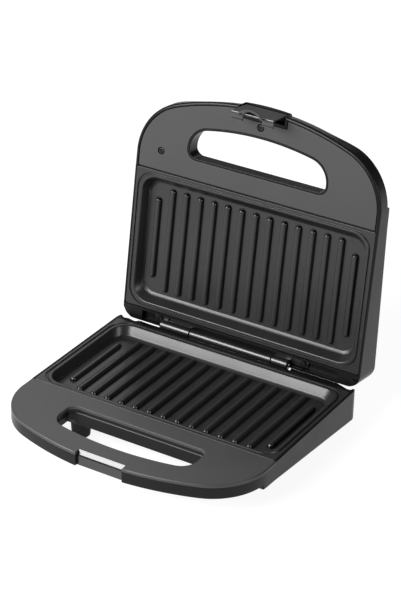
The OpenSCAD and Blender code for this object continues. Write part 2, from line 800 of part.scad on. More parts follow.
module upper_casing() {
  color(black) at_lid() flip() difference() {
    union() {
      difference() {
        upper_form();
        upper_form(wall);
      }
      intersection() {
        upper_form();
        union() {
          casing_inside() panel_plan(-ledge_w);
          block(-notch_w / 2 - wall, notch_w / 2 + wall, -2 * reach, lid_notch_y + wall, meet, tall);
          for (p = panel_screw_xy) rod(p[0], p[1], panel_post_z, tall, post_r);
          for (s = [-1, 1]) rod(s * board_post_x, lens_y, board_z + board_t, tall, 3);
          for (x = ear_screw_x) rod(x, ear_screw_y, trough_z, trough_z + 7, 3.5);
        }
      }
    }
    casing_cuts();
    prism(-eps, panel_z + panel_t) panel_plan(panel_gap);
    block(-notch_w / 2, notch_w / 2, -2 * reach, lid_notch_y, -eps, lid_notch_h);
    x_cylinder(-latch_pin_w / 2, latch_pin_w / 2, latch_y, latch_pin_z, latch_pin_r);
    for (p = panel_screw_xy) rod(p[0], p[1], 0, panel_head_z + panel_screw_l, screw_r);
    for (s = [-1, 1]) {
      rod(s * board_post_x, lens_y, 0, board_z + board_screw_l, screw_r);
      rod(s * lens_x, lens_y, 0, tall, lens_r);
    }
    for (x = ear_screw_x) rod(x, ear_screw_y, 0, trough_z + trough_floor + 3, screw_r);
  }
}

module lid_panel() {
  color(grey) at_lid() flip() difference() {
    union() {
      prism(panel_z, panel_z + panel_t) panel_plan();
      for (p = panel_screw_xy) rod(p[0], p[1], panel_z, panel_post_z, post_r);
    }
    prism(-eps, tall) hole_plan();
    block(-notch_w / 2 - wall - panel_gap, notch_w / 2 + wall + panel_gap, -2 * reach,
      lid_notch_y + wall + panel_gap, -eps, tall);
    for (p = panel_screw_xy) {
      rod(p[0], p[1], -eps, panel_head_z, head_r + 0.3);
      rod(p[0], p[1], 0, tall, screw_r);
    }
  }
}

module upper_grill_plate() {
  color(coating) at_lid() flip() grill_plate();
}

module upper_heater() {
  color(steel) at_lid() flip() heater();
}

module upper_heater_clamps() {
  color(steel) at_lid() flip() heater_clamps();
}

module upper_heat_shield() {
  color(steel) at_lid() flip() heat_shield(0, thermostat_r + 1.5);
}

module upper_shield_screws() {
  color(steel) at_lid() flip() shield_screws();
}

module upper_plate_screws() {
  color(steel) at_lid() flip() plate_screws();
}

module lid_panel_screws() {
  color(steel) at_lid() flip() for (p = panel_screw_xy) screw(p[0], p[1], panel_head_z, panel_screw_l);
}

module hinge_ear(x0, x1, tab_x0, tab_x1, screw_x) {
  difference() {
    union() {
      x_cylinder(x0, x1, hinge_y, 0, barrel_r);
      block(x0, x1, hinge_y - barrel_r, hinge_y, 1, trough_z);
      block(tab_x0, tab_x1, trough_y + 0.4, hinge_y - 0.6, trough_z - tab_t, trough_z);
    }
    x_cylinder(x0 - eps, x1 + eps, hinge_y, 0, pin_r + pin_play);
    rod(screw_x, ear_screw_y, 0, tall, screw_r);
  }
}

module hinge_ear_left() {
  color(black) at_lid() flip() hinge_ear(knuckle_x0, barrel_x0 - barrel_gap, knuckle_x0 - left_tab,
    knuckle_x0 + 4, ear_screw_x[0]);
}

module hinge_ear_right() {
  color(black) at_lid() flip() hinge_ear(barrel_x1 + barrel_gap, knuckle_x1, knuckle_x1 - 4,
    knuckle_x1 + right_tab, ear_screw_x[1]);
}

module hinge_ear_screws() {
  color(steel) at_lid() flip() for (x = ear_screw_x)
    screw(x, ear_screw_y, trough_z - tab_t, tab_t + trough_floor + 3);
}

module thermostat() {
  color(grey) at_lid() flip() {
    rod(0, rod_mid, pan_z, pan_z + thermostat_h, thermostat_r);
    for (s = [-1, 1]) block(s * 5 - 2.4, s * 5 + 2.4, rod_mid - 0.4, rod_mid + 0.4,
      pan_z + thermostat_h - 0.5, pan_z + thermostat_h + 1.5);
  }
}

module thermal_fuse() {
  color(steel) at_lid() flip() {
    x_cylinder(fuse_x - fuse_l / 2, fuse_x + fuse_l / 2, rod_mid, pan_z + fuse_r, fuse_r);
    x_cylinder(fuse_x - fuse_l, fuse_x + fuse_l, rod_mid, pan_z + fuse_r, fuse_r / 3);
  }
}

module lamp_board() {
  color([0.25, 0.4, 0.25]) at_lid() flip() difference() {
    block(-board_half_w, board_half_w, lens_y - board_half_d, lens_y + board_half_d, board_z, board_z + board_t);
    for (s = [-1, 1]) rod(s * board_post_x, lens_y, 0, tall, screw_r);
  }
}

module lamp_board_screws() {
  color(steel) at_lid() flip() for (s = [-1, 1]) screw(s * board_post_x, lens_y, board_z, board_screw_l);
}

module power_lamp() {
  color([0.8, 0.3, 0.1]) at_lid() flip() rod(-lens_x, lens_y, board_z + board_t, board_z + board_t + lamp_l, lamp_r);
}

module ready_lamp() {
  color([0.2, 0.6, 0.2]) at_lid() flip() rod(lens_x, lens_y, board_z + board_t, board_z + board_t + lamp_l, lamp_r);
}

module lens(x) {
  difference() {
    union() {
      rod(x, lens_y, lid_front_h - wall - 3, lid_front_h + 1.6, lens_r);
      intersection() {
        rod(x, lens_y, lid_front_h - wall - 2, tall, lens_r + 1.4);
        upper_form(wall);
      }
    }
    rod(x, lens_y, 0, lid_front_h - 0.4, lamp_r + 0.8);
  }
}

module power_lens() {
  color([0.7, 0.1, 0.05]) at_lid() flip() lens(-lens_x);
}

module ready_lens() {
  color([0.1, 0.5, 0.15]) at_lid() flip() lens(lens_x);
}

module latch_pin() {
  color(steel) at_lid() flip() x_cylinder(-latch_pin_w / 2, latch_pin_w / 2, latch_y, latch_pin_z, latch_pin_r);
}

// ---- latch, drawn hanging from the closed lid ----

module latch() {
  arch_h = (tab_r - (tab_cy - latch_front_y)) / tab_slope;
  color(black) at_lid() difference() {
    union() {
      x_cylinder(-latch_w / 2, latch_w / 2, latch_y, -latch_pin_z, latch_boss_r);
      along_x(latch_w) polygon([[latch_y - latch_boss_r, latch_pin_z], [latch_front_y, 0], [latch_front_y, -nose_z],
        [latch_inner_y, -nose_z], [latch_inner_y, 0], [latch_y, latch_pin_z]]);
      for (s = [-1, 1]) translate([s * (hook_x + latch_w / 2) / 2, 0, 0])
        block(-(latch_w / 2 - hook_x) / 2, (latch_w / 2 - hook_x) / 2, latch_front_y, hook_y, hook_z, nose_z);
      intersection() {
        difference() {
          translate([0, tab_cy, -tab_z]) cylinder(r1 = tab_r, r2 = tab_cy - latch_front_y, h = arch_h);
          translate([0, tab_cy, -tab_z]) cylinder(r1 = tab_r - latch_t, r2 = tab_cy - latch_front_y - latch_t,
            h = arch_h);
          translate([0, tab_cy, -tab_z - eps]) cylinder(r = tab_r - latch_t - 0.01, h = eps + 0.01);
        }
        block(-tab_r, tab_r, -2 * reach, latch_front_y + latch_t / 2, -tall, tall);
      }
    }
    x_cylinder(-latch_w, latch_w, latch_y, -latch_pin_z, latch_pin_r + pin_play);
  }
}

lower_casing();
handle_cover();
lower_grill_plate();
lower_heater();
lower_heater_clamps();
lower_heat_shield();
lower_shield_screws();
lower_plate_screws();
handle_cover_screws();
front_feet();
rear_feet();
hinge_bracket();
hinge_pin();
hinge_bracket_screws();
cable_gland();
terminal_block();
earth_tag();
upper_casing();
lid_panel();
upper_grill_plate();
upper_heater();
upper_heater_clamps();
upper_heat_shield();
upper_shield_screws();
upper_plate_screws();
lid_panel_screws();
hinge_ear_left();
hinge_ear_right();
hinge_ear_screws();
thermostat();
thermal_fuse();
lamp_board();
lamp_board_screws();
power_lamp();
ready_lamp();
power_lens();
ready_lens();
latch_pin();
latch();
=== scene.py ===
"""Studio scene of an open sandwich toaster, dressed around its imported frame.

Shapes are drawn in millimetres in the frame of one half lying flat: x to the right, y = 0 at the
grill plates' rear edge, -y to the front, z = 0 at the parting plane and the half hanging below it.
"""

import json
import logging
import math
from collections.abc import Callable, Iterable, Sequence
from dataclasses import dataclass, field, replace
from enum import Enum

import bmesh
import bpy
from mathutils import Matrix, Vector
from mathutils.geometry import delaunay_2d_cdt


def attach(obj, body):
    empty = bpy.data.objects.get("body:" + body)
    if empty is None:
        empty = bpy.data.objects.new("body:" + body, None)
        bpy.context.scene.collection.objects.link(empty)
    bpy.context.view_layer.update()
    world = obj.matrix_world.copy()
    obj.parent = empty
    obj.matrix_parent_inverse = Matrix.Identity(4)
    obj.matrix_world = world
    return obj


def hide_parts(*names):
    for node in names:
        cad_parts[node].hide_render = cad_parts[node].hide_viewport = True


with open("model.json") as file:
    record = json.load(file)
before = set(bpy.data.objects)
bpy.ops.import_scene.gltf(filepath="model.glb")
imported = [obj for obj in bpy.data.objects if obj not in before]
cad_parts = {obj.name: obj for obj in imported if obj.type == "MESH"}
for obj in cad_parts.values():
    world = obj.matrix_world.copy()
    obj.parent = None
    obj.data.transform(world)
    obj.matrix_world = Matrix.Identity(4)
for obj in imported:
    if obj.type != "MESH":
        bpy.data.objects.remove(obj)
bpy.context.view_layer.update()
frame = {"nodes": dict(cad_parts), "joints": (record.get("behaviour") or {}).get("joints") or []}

LOG = logging.getLogger("toaster")
# Metres in a millimetre.
MM = 0.001
# Hinge axis behind the plates' rear edge, parting plane above the table, and the open lid's angle.
HINGE_Y = 10.1
PARTING_H = 33.0
OPEN_ANGLE = 97.6
# Puts a profile drawn in (y, z) upright, with its thickness along x.
FROM_SIDE = Matrix(((0, 0, 1, 0), (1, 0, 0, 0), (0, 1, 0, 0), (0, 0, 0, 1)))

Point = tuple[float, float]
Height = Callable[[float, float], float]
Size = float | Callable[[float, float], float]
Ring = list[bmesh.types.BMVert]


class Half(Enum):
    """Which body a piece belongs to, and so where its drawing frame is put."""

    BASE = "base"
    LID = "lid"
    LATCH = "latch_arm"

    def matrix(self) -> Matrix:
        """Place of this half's drawing frame.

        Returns:
            The matrix from millimetres in the half's frame to metres in the part's frame.
        """
        hinge = frame["joints"][0]["pos_m"]
        shift = Matrix.Translation((0.0, hinge[1] - HINGE_Y * MM, PARTING_H * MM))
        scale = Matrix.Scale(MM, 4)
        if self is Half.BASE:
            return shift @ scale
        about = Matrix.Translation((0.0, HINGE_Y, 0.0))
        turn = about @ Matrix.Rotation(math.radians(-OPEN_ANGLE), 4, "X") @ about.inverted()
        flip = Matrix.Scale(-1.0, 4, (0.0, 0.0, 1.0)) if self is Half.LID else Matrix.Identity(4)
        return shift @ scale @ turn @ flip


def level(z: float) -> Height:
    """A flat face at height z."""
    return lambda x, y: z


def size_at(size: Size, x: float, y: float) -> float:
    """The value of a size that may change along an outline."""
    return size(x, y) if callable(size) else size


def blend(value: float, low: float, high: float) -> float:
    """Smooth step from 0 at low to 1 at high."""
    t = min(1.0, max(0.0, (value - low) / (high - low)))
    return t * t * (3.0 - 2.0 * t)


def arc(cx: float, cy: float, r: float, a0: float, a1: float, count: int) -> list[Point]:
    """Points on an arc.

    Args:
        cx: Centre in x.
        cy: Centre in y.
        r: Radius.
        a0: First angle in degrees.
        a1: Last angle in degrees.
        count: Number of steps.

    Returns:
        The count + 1 points from a0 to a1.
    """
    angles = [math.radians(a0 + (a1 - a0) * k / count) for k in range(count + 1)]
    return [(cx + r * math.cos(a), cy + r * math.sin(a)) for a in angles]


def circle(cx: float, cy: float, r: float, count: int = 24) -> list[Point]:
    """A closed circle, counter-clockwise."""
    return arc(cx, cy, r, 0.0, 360.0 * (count - 1) / count, count - 1)


def round_rect(half_w: float, y0: float, y1: float, r: float, steps: int = 8) -> list[Point]:
    """A rectangle with round corners.

    Args:
        half_w: Half width in x.
        y0: Front edge.
        y1: Rear edge.
        r: Corner radius.
        steps: Steps in each corner.

    Returns:
        The outline, counter-clockwise from the front left corner.
    """
    points: list[Point] = []
    for cx, cy, start in (
        (-half_w + r, y0 + r, 180.0), (half_w - r, y0 + r, 270.0),
        (half_w - r, y1 - r, 0.0), (-half_w + r, y1 - r, 90.0),
    ):
        points += arc(cx, cy, r, start, start + 90.0, steps)
    return points


@dataclass
class DShape:
    """The D of the casings, their covers and the hole of the grip, seen from above."""

    half_w: float
    front: float
    arc_r: float
    corner_r: float
    back: float
    back_r: float = 0.0
    notch: tuple[float, float] | None = None
    splits: tuple[float, ...] = ()

    def variant(self, d: float, back: float, notch: tuple[float, float] | None = None,
                splits: tuple[float, ...] = ()) -> "DShape":
        """The same D moved inwards by d, cut off straight at its own back edge and notched."""
        return DShape(self.half_w - d, self.front - d, self.arc_r - d, self.corner_r - d, back, 0.0, notch,
                      splits)

    def points(self, rows: Sequence[float] = ()) -> list[Point]:
        """The closed outline, counter-clockwise.

        Args:
            rows: Heights in y at which the outline gets extra points.

        Returns:
            The outline's points.
        """
        cx = self.half_w - self.corner_r
        reach = self.arc_r - self.corner_r
        a = math.degrees(math.acos(cx / reach))
        arc_cy = self.arc_r - self.front
        cy = arc_cy - reach * math.sin(math.radians(a))
        front = arc(0.0, arc_cy, self.arc_r, -180.0 + a, -a, 72)
        marks = [s * x for x in self.splits for s in (-1.0, 1.0)]
        if self.notch:
            marks += [-self.notch[0], self.notch[0]]
        for x in marks:
            front.append((x, arc_cy - math.sqrt(self.arc_r**2 - x * x)))
        front.sort()
        if self.notch:
            half, inner = self.notch
            front = ([p for p in front if p[0] <= -half] + [(-half, inner), (half, inner)]
                     + [p for p in front if p[0] >= half])
        points = front + arc(cx, cy, self.corner_r, -a, 0.0, 22)[1:]
        if self.back_r > 0.0:
            bx, by = self.half_w - self.back_r, self.back - self.back_r
            points += arc(bx, by, self.back_r, 0.0, 90.0, 7)
            points += arc(-bx, by, self.back_r, 90.0, 180.0, 7)
        else:
            points += [(self.half_w, self.back), (-self.half_w, self.back)]
        points += arc(-cx, cy, self.corner_r, 180.0, 180.0 + a, 22)[:-1]
        return with_rows(points, rows)


def with_rows(points: list[Point], rows: Sequence[float]) -> list[Point]:
    """Adds a point wherever a closed outline crosses one of the rows.

    Args:
        points: The outline.
        rows: Values of y.

    Returns:
        The outline with the extra points.
    """
    out: list[Point] = []
    for (x0, y0), (x1, y1) in zip(points, points[1:] + points[:1]):
        out.append((x0, y0))
        crossed = [r for r in rows if min(y0, y1) + 0.02 < r < max(y0, y1) - 0.02]
        for r in sorted(crossed, reverse=y1 < y0):
            t = (r - y0) / (y1 - y0)
            out.append((x0 + t * (x1 - x0), r))
    return out


def moved(points: Sequence[Point], insets: Sequence[float]) -> list[Point]:
    """Moves each point of a closed outline inwards.

    Args:
        points: The outline, counter-clockwise.
        insets: How far each point's edges move in; below zero they move out.

    Returns:
        The moved points, as many as before.
    """
    out: list[Point] = []
    n = len(points)
    for i, (x, y) in enumerate(points):
        ax, ay = x - points[i - 1][0], y - points[i - 1][1]
        bx, by = points[(i + 1) % n][0] - x, points[(i + 1) % n][1] - y
        la, lb = math.hypot(ax, ay) or 1.0, math.hypot(bx, by) or 1.0
        mx, my = -ay / la - by / lb, ax / la + bx / lb
        scale = 2.0 / max(mx * mx + my * my, 0.35)
        out.append((x + mx * scale * insets[i], y + my * scale * insets[i]))
    return out


def grown(points: Sequence[Point], d: float) -> list[Point]:
    """A closed outline moved outwards by d."""
    return moved(points, [-d] * len(points))


def inside(point: Point, loop: Sequence[Point]) -> bool:
    """Tells whether a point lies within a closed outline.

    Args:
        point: The point.
        loop: The outline.

    Returns:
        True within it.
    """
    x, y = point
    odd = False
    for (x0, y0), (x1, y1) in zip(loop, loop[1:] + loop[:1]):
        if (y0 > y) != (y1 > y) and x < (x1 - x0) * (y - y0) / (y1 - y0) + x0:
            odd = not odd
    return odd


class Shell:
    """A mesh in the making, in millimetres."""

    def __init__(self) -> None:
        """Starts with nothing."""
        self.bm = bmesh.new()

    def ring(self, points: Iterable[Point], height: Height) -> Ring:
        """Adds a closed row of vertices at the given height."""
        return [self.bm.verts.new((x, y, height(x, y))) for x, y in points]

    def ring3(self, points: Iterable[Sequence[float]]) -> Ring:
        """Adds a row of vertices at points in space."""
        return [self.bm.verts.new(p) for p in points]

    def bridge(self, *rings: Ring, closed: bool = True) -> None:
        """Joins each row of vertices to the next with faces.

        Args:
            rings: The rows, all of one length.
            closed: Whether each row's last vertex meets its first.
        """
        for a, b in zip(rings, rings[1:]):
            n = len(a)
            for i in range(n if closed else n - 1):
                j = (i + 1) % n
                self.bm.faces.new((a[i], a[j], b[j], b[i]))

    def wall(self, points: Sequence[Point], top: Height, bottom: Height, round_top: Size = 0.0,
             round_bottom: Size = 0.0, hole: bool = False, lean: Size = 0.0) -> tuple[Ring, Ring]:
        """Adds an upright wall with rounded edges.

        Args:
            points: Outline, counter-clockwise.
            top: Height of the face above the wall.
            bottom: Height of the face below the wall.
            round_top: Radius of the upper edge.
            round_bottom: Radius of the lower edge.
            hole: Whether the outline is a hole, so that the edges round outwards.
            lean: How far the wall leans in at its lower end.

        Returns:
            The row of vertices next to the upper face, and the one next to the lower face.
        """
        side = -1.0 if hole else 1.0
        rings: list[Ring] = []
        for face, size, sign, tilt in ((top, round_top, 1.0, 0.0), (bottom, round_bottom, -1.0, 1.0)):
            radii = [size_at(size, x, y) for x, y in points]
            leans = [tilt * size_at(lean, x, y) for x, y in points]
            steps = 5 if max(radii) > 0.02 else 0
            rows: list[Ring] = []
            for k in range(steps + 1):
                t = math.pi / 2 * (k / steps if steps else 1.0)
                shifts = [side * (r * (1.0 - math.sin(t)) + more) for r, more in zip(radii, leans)]
                drops = [sign * r * (1.0 - math.cos(t)) if steps else 0.0 for r in radii]
                places = moved(points, shifts)
                rows.append(self.ring3((x, y, face(x, y) - d) for (x, y), d in zip(places, drops)))
            rings += rows if sign > 0 else rows[::-1]
        self.bridge(*rings)
        return rings[0], rings[-1]

    def cap(self, loops: Sequence[Ring], height: Height, lines: Sequence[Sequence[Point]] = (),
            seeds: Sequence[Point] = ()) -> None:
        """Fills a face between rows of vertices.

        Args:
            loops: The outer row first, then the rows round its holes.
            height: Height of vertices added within the face.
            lines: Rows of points within the face that its triangles must follow.
            seeds: Single points within the face.
        """
        verts: list[bmesh.types.BMVert | None] = []
        flat: list[Vector] = []
        edges: list[tuple[int, int]] = []
        for loop in loops:
            first, n = len(flat), len(loop)
            flat += [v.co.xy.copy() for v in loop]
            verts += loop
            edges += [(first + i, first + (i + 1) % n) for i in range(n)]
        outlines = [[tuple(v.co.xy) for v in loop] for loop in loops]
        for line in lines:
            first = len(flat)
            flat += [Vector(p) for p in line]
            verts += [None] * len(line)
            edges += [(first + i, first + i + 1) for i in range(len(line) - 1)]
        for p in seeds:
            if inside(p, outlines[0]) and not any(inside(p, o) for o in outlines[1:]):
                flat.append(Vector(p))
                verts.append(None)
        places, _, faces, origins, _, _ = delaunay_2d_cdt(flat, edges, [], 0, 1e-4)
        made: dict[int, bmesh.types.BMVert] = {}
        for face in faces:
            mid = (sum(places[i].x for i in face) / 3, sum(places[i].y for i in face) / 3)
            if not inside(mid, outlines[0]) or any(inside(mid, o) for o in outlines[1:]):
                continue
            corners = []
            for i in face:
                if i not in made:
                    known = [verts[k] for k in origins[i] if verts[k] is not None]
                    made[i] = known[0] if known else self.bm.verts.new(
                        (places[i].x, places[i].y, height(places[i].x, places[i].y)))
                corners.append(made[i])
            if len(set(corners)) == 3 and not self.bm.faces.get(corners):
                self.bm.faces.new(corners)

    def slab(self, points: Sequence[Point], top: Height, bottom: Height, round_top: Size = 0.3,
             round_bottom: Size = 0.3, holes: Sequence[Sequence[Point]] = (),
             hole_top: Size = 0.3, hole_bottom: Size = 0.2) -> None:
        """Adds a closed plate with rounded edges.

        Args:
            points: Outline, counter-clockwise.
            top: Height of its upper face.
            bottom: Height of its lower face.
            round_top: Radius of the upper edge.
            round_bottom: Radius of the lower edge.
            holes: Outlines of the holes through it.
            hole_top: Radius of each hole's upper edge.
            hole_bottom: Radius of each hole's lower edge.
        """
        uppers, lowers = [], []
        for outline, is_hole in [(points, False)] + [(h, True) for h in holes]:
            a, b = self.wall(outline, top, bottom, hole_top if is_hole else round_top,
                             hole_bottom if is_hole else round_bottom, is_hole)
            uppers.append(a)
            lowers.append(b)
        self.cap(uppers, top)
        self.cap(lowers, bottom)

    def lathe(self, profile: Sequence[Point], place: Matrix, count: int = 40) -> None:
        """Turns a profile about an axis.

        Args:
            profile: Pairs of radius and place along the axis; the ends may lie on the axis.
            place: Where the axis lies: it maps z to the axis.
            count: Steps round the axis.
        """
        rings = []
        for r, z in profile:
            if r < 1e-6:
                rings.append([self.bm.verts.new(place @ Vector((0, 0, z)))])
            else:
                rings.append(self.ring3(place @ Vector((x, y, z)) for x, y in circle(0, 0, r, count)))
        for a, b in zip(rings, rings[1:]):
            if len(a) == len(b) and len(a) > 1:
                self.bridge(a, b)
            elif len(a) != len(b):
                tip, rim = (a[0], b) if len(a) == 1 else (b[0], a)
                for i in range(len(rim)):
                    self.bm.faces.new((tip, rim[i], rim[(i + 1) % len(rim)]))
        if len(rings[0]) > 1 and len(rings[-1]) > 1:
            self.bridge(rings[-1], rings[0])

    def build(self, name: str, half: Half, finish: "Finish", slot: str,
              replaces: Sequence[str] = (), local: Matrix | None = None) -> bpy.types.Object:
        """Turns the mesh into a piece of the scene.

        Args:
            name: The piece's name.
            half: The body that it rides on.
            finish: Its material.
            slot: The record's material slot; not used.
            replaces: Nodes that it stands for.
            local: Turn or shift before the half's own place.

        Returns:
            The object.
        """
        bm = self.bm
        bmesh.ops.remove_doubles(bm, verts=bm.verts[:], dist=1e-4)
        bmesh.ops.dissolve_degenerate(bm, edges=bm.edges[:], dist=1e-4)
        bm.transform(half.matrix() @ (local or Matrix.Identity(4)))
        bmesh.ops.recalc_face_normals(bm, faces=bm.faces[:])
        if bm.calc_volume(signed=True) < 0.0:
            bmesh.ops.reverse_faces(bm, faces=bm.faces[:])
        mesh = bpy.data.meshes.new(name)
        bm.to_mesh(mesh)
        bm.free()
        mesh.polygons.foreach_set("use_smooth", [True] * len(mesh.polygons))
        mesh.set_sharp_from_angle(angle=math.radians(38.0))
        piece = bpy.data.objects.new(name, mesh)
        bpy.context.scene.collection.objects.link(piece)
        weighted = piece.modifiers.new("even_shading", "WEIGHTED_NORMAL")
        weighted.keep_sharp = True
        mesh.materials.append(finish.material())
        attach(piece, half.value)
        if replaces:
            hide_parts(*replaces)
        LOG.info("built %s with %d faces", name, len(mesh.polygons))
        return piece


# ---- finishes ----

# Width of the slow patches of colour and sheen.
PATCH_MM = 45.0
# The real grains are 0.025 to 0.12 mm wide, too fine to show where a pixel covers about 0.6 mm, so
# each is drawn ten times as coarse.
GRAIN_SHOWN = 10.0


def linear(code: str) -> tuple[float, float, float, float]:
    """Turns an sRGB hex colour into a linear one."""
    parts = [int(code[i:i + 2], 16) / 255.0 for i in (1, 3, 5)]
    return tuple(c / 12.92 if c <= 0.04045 else ((c + 0.055) / 1.055) ** 2.4 for c in parts) + (1.0,)


def add_node(tree: bpy.types.NodeTree, kind: str, settings: dict | None = None,
             links: dict | None = None) -> bpy.types.Node:
    """Adds a node.

    Args:
        tree: The node tree.
        kind: The node's type name, without its ShaderNode prefix.
        settings: Values of its properties, or of its inputs by name or number.
        links: Output sockets for its inputs, by input name or number.

    Returns:
        The new node.
    """
    node = tree.nodes.new("ShaderNode" + kind)
    for key, value in (settings or {}).items():
        if isinstance(key, str) and hasattr(node, key):
            setattr(node, key, value)
        else:
            node.inputs[key].default_value = value
    for key, socket in (links or {}).items():
        tree.links.new(socket, node.inputs[key])
    return node


def cleared_tree(owner: bpy.types.Material | bpy.types.World) -> bpy.types.NodeTree:
    """Turns on the nodes of a material or world and empties them.

    Args:
        owner: The material or world.

    Returns:
        Its empty node tree.
    """
    owner.use_nodes = True
    owner.node_tree.nodes.clear()
    return owner.node_tree


@dataclass(frozen=True)
class Finish:
    """A material with a fine grain and slow patches of colour and sheen; its sizes are real ones."""

    name: str
    colour: str
    patch: str
    roughness: float
    rough_spread: float = 0.06
    metallic: float = 0.0
    ior: float = 1.5
    coat: float = 0.0
    coat_roughness: float = 0.1
    grain_mm: float = 0.05
    grain_depth: float = 0.02
    grain_strength: float = 0.25
    transmission: float = 0.0
    brushed: tuple[float, float, float] | None = None

    def material(self) -> bpy.types.Material:
        """Makes the material on first use.

        Returns:
            The material.
        """
        found = bpy.data.materials.get(self.name)
        if found:
            return found
        made = bpy.data.materials.new(self.name)
        tree = cleared_tree(made)
        where = add_node(tree, "TexCoord").outputs["Object"]
        if self.brushed:
            where = add_node(tree, "Mapping", {"Scale": self.brushed}, {"Vector": where}).outputs[0]
        slow = add_node(tree, "TexNoise", {"Scale": 1.0 / (PATCH_MM * MM), "Detail": 3.0, "Roughness": 0.55},
                        {"Vector": where})
        grain = self.grain_mm * GRAIN_SHOWN * 2.0 * MM
        fine = add_node(tree, "TexNoise", {"Scale": 1.0 / grain, "Detail": 2.0, "Roughness": 0.6},
                        {"Vector": where})
        patch = add_node(tree, "MapRange", {1: 0.35, 2: 0.7}, {0: slow.outputs[0]})
        colour = add_node(tree, "Mix", {"data_type": "RGBA", 6: linear(self.colour), 7: linear(self.patch)},
                          {0: patch.outputs[0]}).outputs[2]
        rough = add_node(tree, "MapRange", {1: 0.3, 2: 0.7, 3: self.roughness - self.rough_spread,
                                            4: self.roughness + self.rough_spread}, {0: slow.outputs[0]})
        bump = add_node(tree, "Bump", {"Strength": self.grain_strength, "Distance": self.grain_depth * MM},
                        {"Height": fine.outputs[0]})
        shader = add_node(tree, "BsdfPrincipled", {
            "Metallic": self.metallic, "IOR": self.ior, "Coat Weight": self.coat,
            "Coat Roughness": self.coat_roughness, "Transmission Weight": self.transmission,
        }, {"Base Color": colour, "Roughness": rough.outputs[0], "Normal": bump.outputs[0]})
        add_node(tree, "OutputMaterial", None, {"Surface": shader.outputs[0]})
        return made


# Glass-filled phenolic, moulded in a polished tool: deep black with clear, slightly soft reflections.
# Its IOR is below the resin's 1.6, matched to how little the black sides reflect.
PHENOLIC_GLOSS = Finish("moulded_phenolic_gloss", "#0b0b0c", "#101011", 0.34, 0.04, ior=1.3,
                        grain_mm=0.09, grain_depth=0.03, grain_strength=0.12)
# The same resin from a spark-eroded tool: an even satin that lifts to dark grey under soft light.
PHENOLIC_SATIN = Finish("moulded_phenolic_satin", "#383839", "#3d3d3e", 0.42, 0.04, grain_mm=0.035,
                        grain_depth=0.03, grain_strength=0.3)
# Painted inner panel of the lid: matt dark grey, even, with a faint orange-peel.
PANEL_MATT = Finish("painted_panel_matt", "#2f2f30", "#333334", 0.55, 0.04, grain_mm=0.045,
                    grain_depth=0.03, grain_strength=0.28)
# Sprayed PTFE on cast aluminium: charcoal with a silky sheen, grain of the blasted casting below.
PTFE_COATING = Finish("ptfe_coating_sprayed", "#1d1d1e", "#222223", 0.36, 0.03, ior=1.45, coat=0.1,
                      coat_roughness=0.18, grain_mm=0.05, grain_depth=0.03, grain_strength=0.14)
# Caps over the ribs' round ends: a black darker than the coating, painted shade, glossy with pin-sharp
# highlights.
PTFE_PAINTED_SHADE_GLOSS = Finish("ptfe_coating_painted_shade", "#050505", "#080808", 0.12, 0.02, coat=0.3, coat_roughness=0.05,
                       grain_mm=0.12, grain_depth=0.01, grain_strength=0.03)
# Moulded nylon of the hinge barrels: black, with broad soft highlights along the round.
NYLON_GLOSS = Finish("nylon_gloss_moulded", "#131314", "#181819", 0.3, 0.04, coat=0.4, coat_roughness=0.15,
                     grain_mm=0.07, grain_depth=0.02, grain_strength=0.12)
# The ramp's slope, polished by the latch that slides over it: it mirrors the soft box almost white.
POLISHED_RAMP = Finish("phenolic_polished_ramp", "#1c1c1d", "#222223", 0.17, 0.02, coat=0.5,
                       coat_roughness=0.1, grain_mm=0.12, grain_depth=0.01, grain_strength=0.03)
# The latch's cover, the same black nylon worn to a silky dark grey that catches the light along its nose.
LATCH_SATIN = Finish("nylon_satin_latch", "#2c2c2d", "#343435", 0.3, 0.03, coat=0.5, coat_roughness=0.18,
                     grain_mm=0.08, grain_depth=0.02, grain_strength=0.06)
# Vulcanised rubber of the feet: dead matt, faintly dusty.
RUBBER = Finish("rubber_vulcanised", "#131313", "#1b1b1a", 0.82, 0.05, grain_mm=0.04, grain_depth=0.05,
                grain_strength=0.5)
# Zinc-plated steel of pins and inner fixings: bright, fine turned lines.
ZINC = Finish("steel_zinc_plated", "#b9bbbe", "#a4a7ab", 0.28, 0.06, metallic=1.0, grain_mm=0.025,
              grain_depth=0.01, brushed=(1.0, 8.0, 1.0))
# Black-oxide steel of the screws that show: dark grey metal with a dull gleam.
BLACK_OXIDE = Finish("steel_black_oxide", "#3a3b3d", "#2c2d2f", 0.38, 0.06, metallic=1.0, grain_mm=0.03,
                     grain_depth=0.01)
# Cold-rolled sheet of the heat shields and clamps: mid-grey metal, streaked along its rolling lines.
SHEET = Finish("steel_sheet_rolled", "#9b9da0", "#8a8c90", 0.36, 0.08, metallic=1.0, grain_mm=0.04,
               grain_depth=0.015, brushed=(0.3, 6.0, 1.0))
# Steel sheath of the heating rods, blued by heat: brown-grey metal with bluish patches.
HEATER_SHEATH = Finish("heater_sheath_blued", "#6b655f", "#57595f", 0.45, 0.08, metallic=1.0, grain_mm=0.04)
# Natural nylon of the terminal block: a waxy off-white.
NYLON_PALE = Finish("nylon_natural", "#cfc8b6", "#c6bfac", 0.5, 0.05, grain_mm=0.05)
# Pressed brown phenolic resin of the thermostat: chocolate brown, half gloss.
PHENOLIC_BROWN = Finish("phenolic_brown_pressed", "#2e211a", "#36271f", 0.42, 0.05, grain_mm=0.05)
# Paper-phenolic circuit board: a plain light brown, dull.
BOARD = Finish("paper_phenolic_board", "#8a6a35", "#7c5e2d", 0.5, 0.05, grain_mm=0.06)
# Clear glass of the neon lamps, with a warm tint.
LAMP_GLASS = Finish("lamp_glass_clear", "#f2dcc4", "#f0d2b0", 0.08, 0.02, transmission=0.85, grain_mm=0.1,
                    grain_strength=0.05)
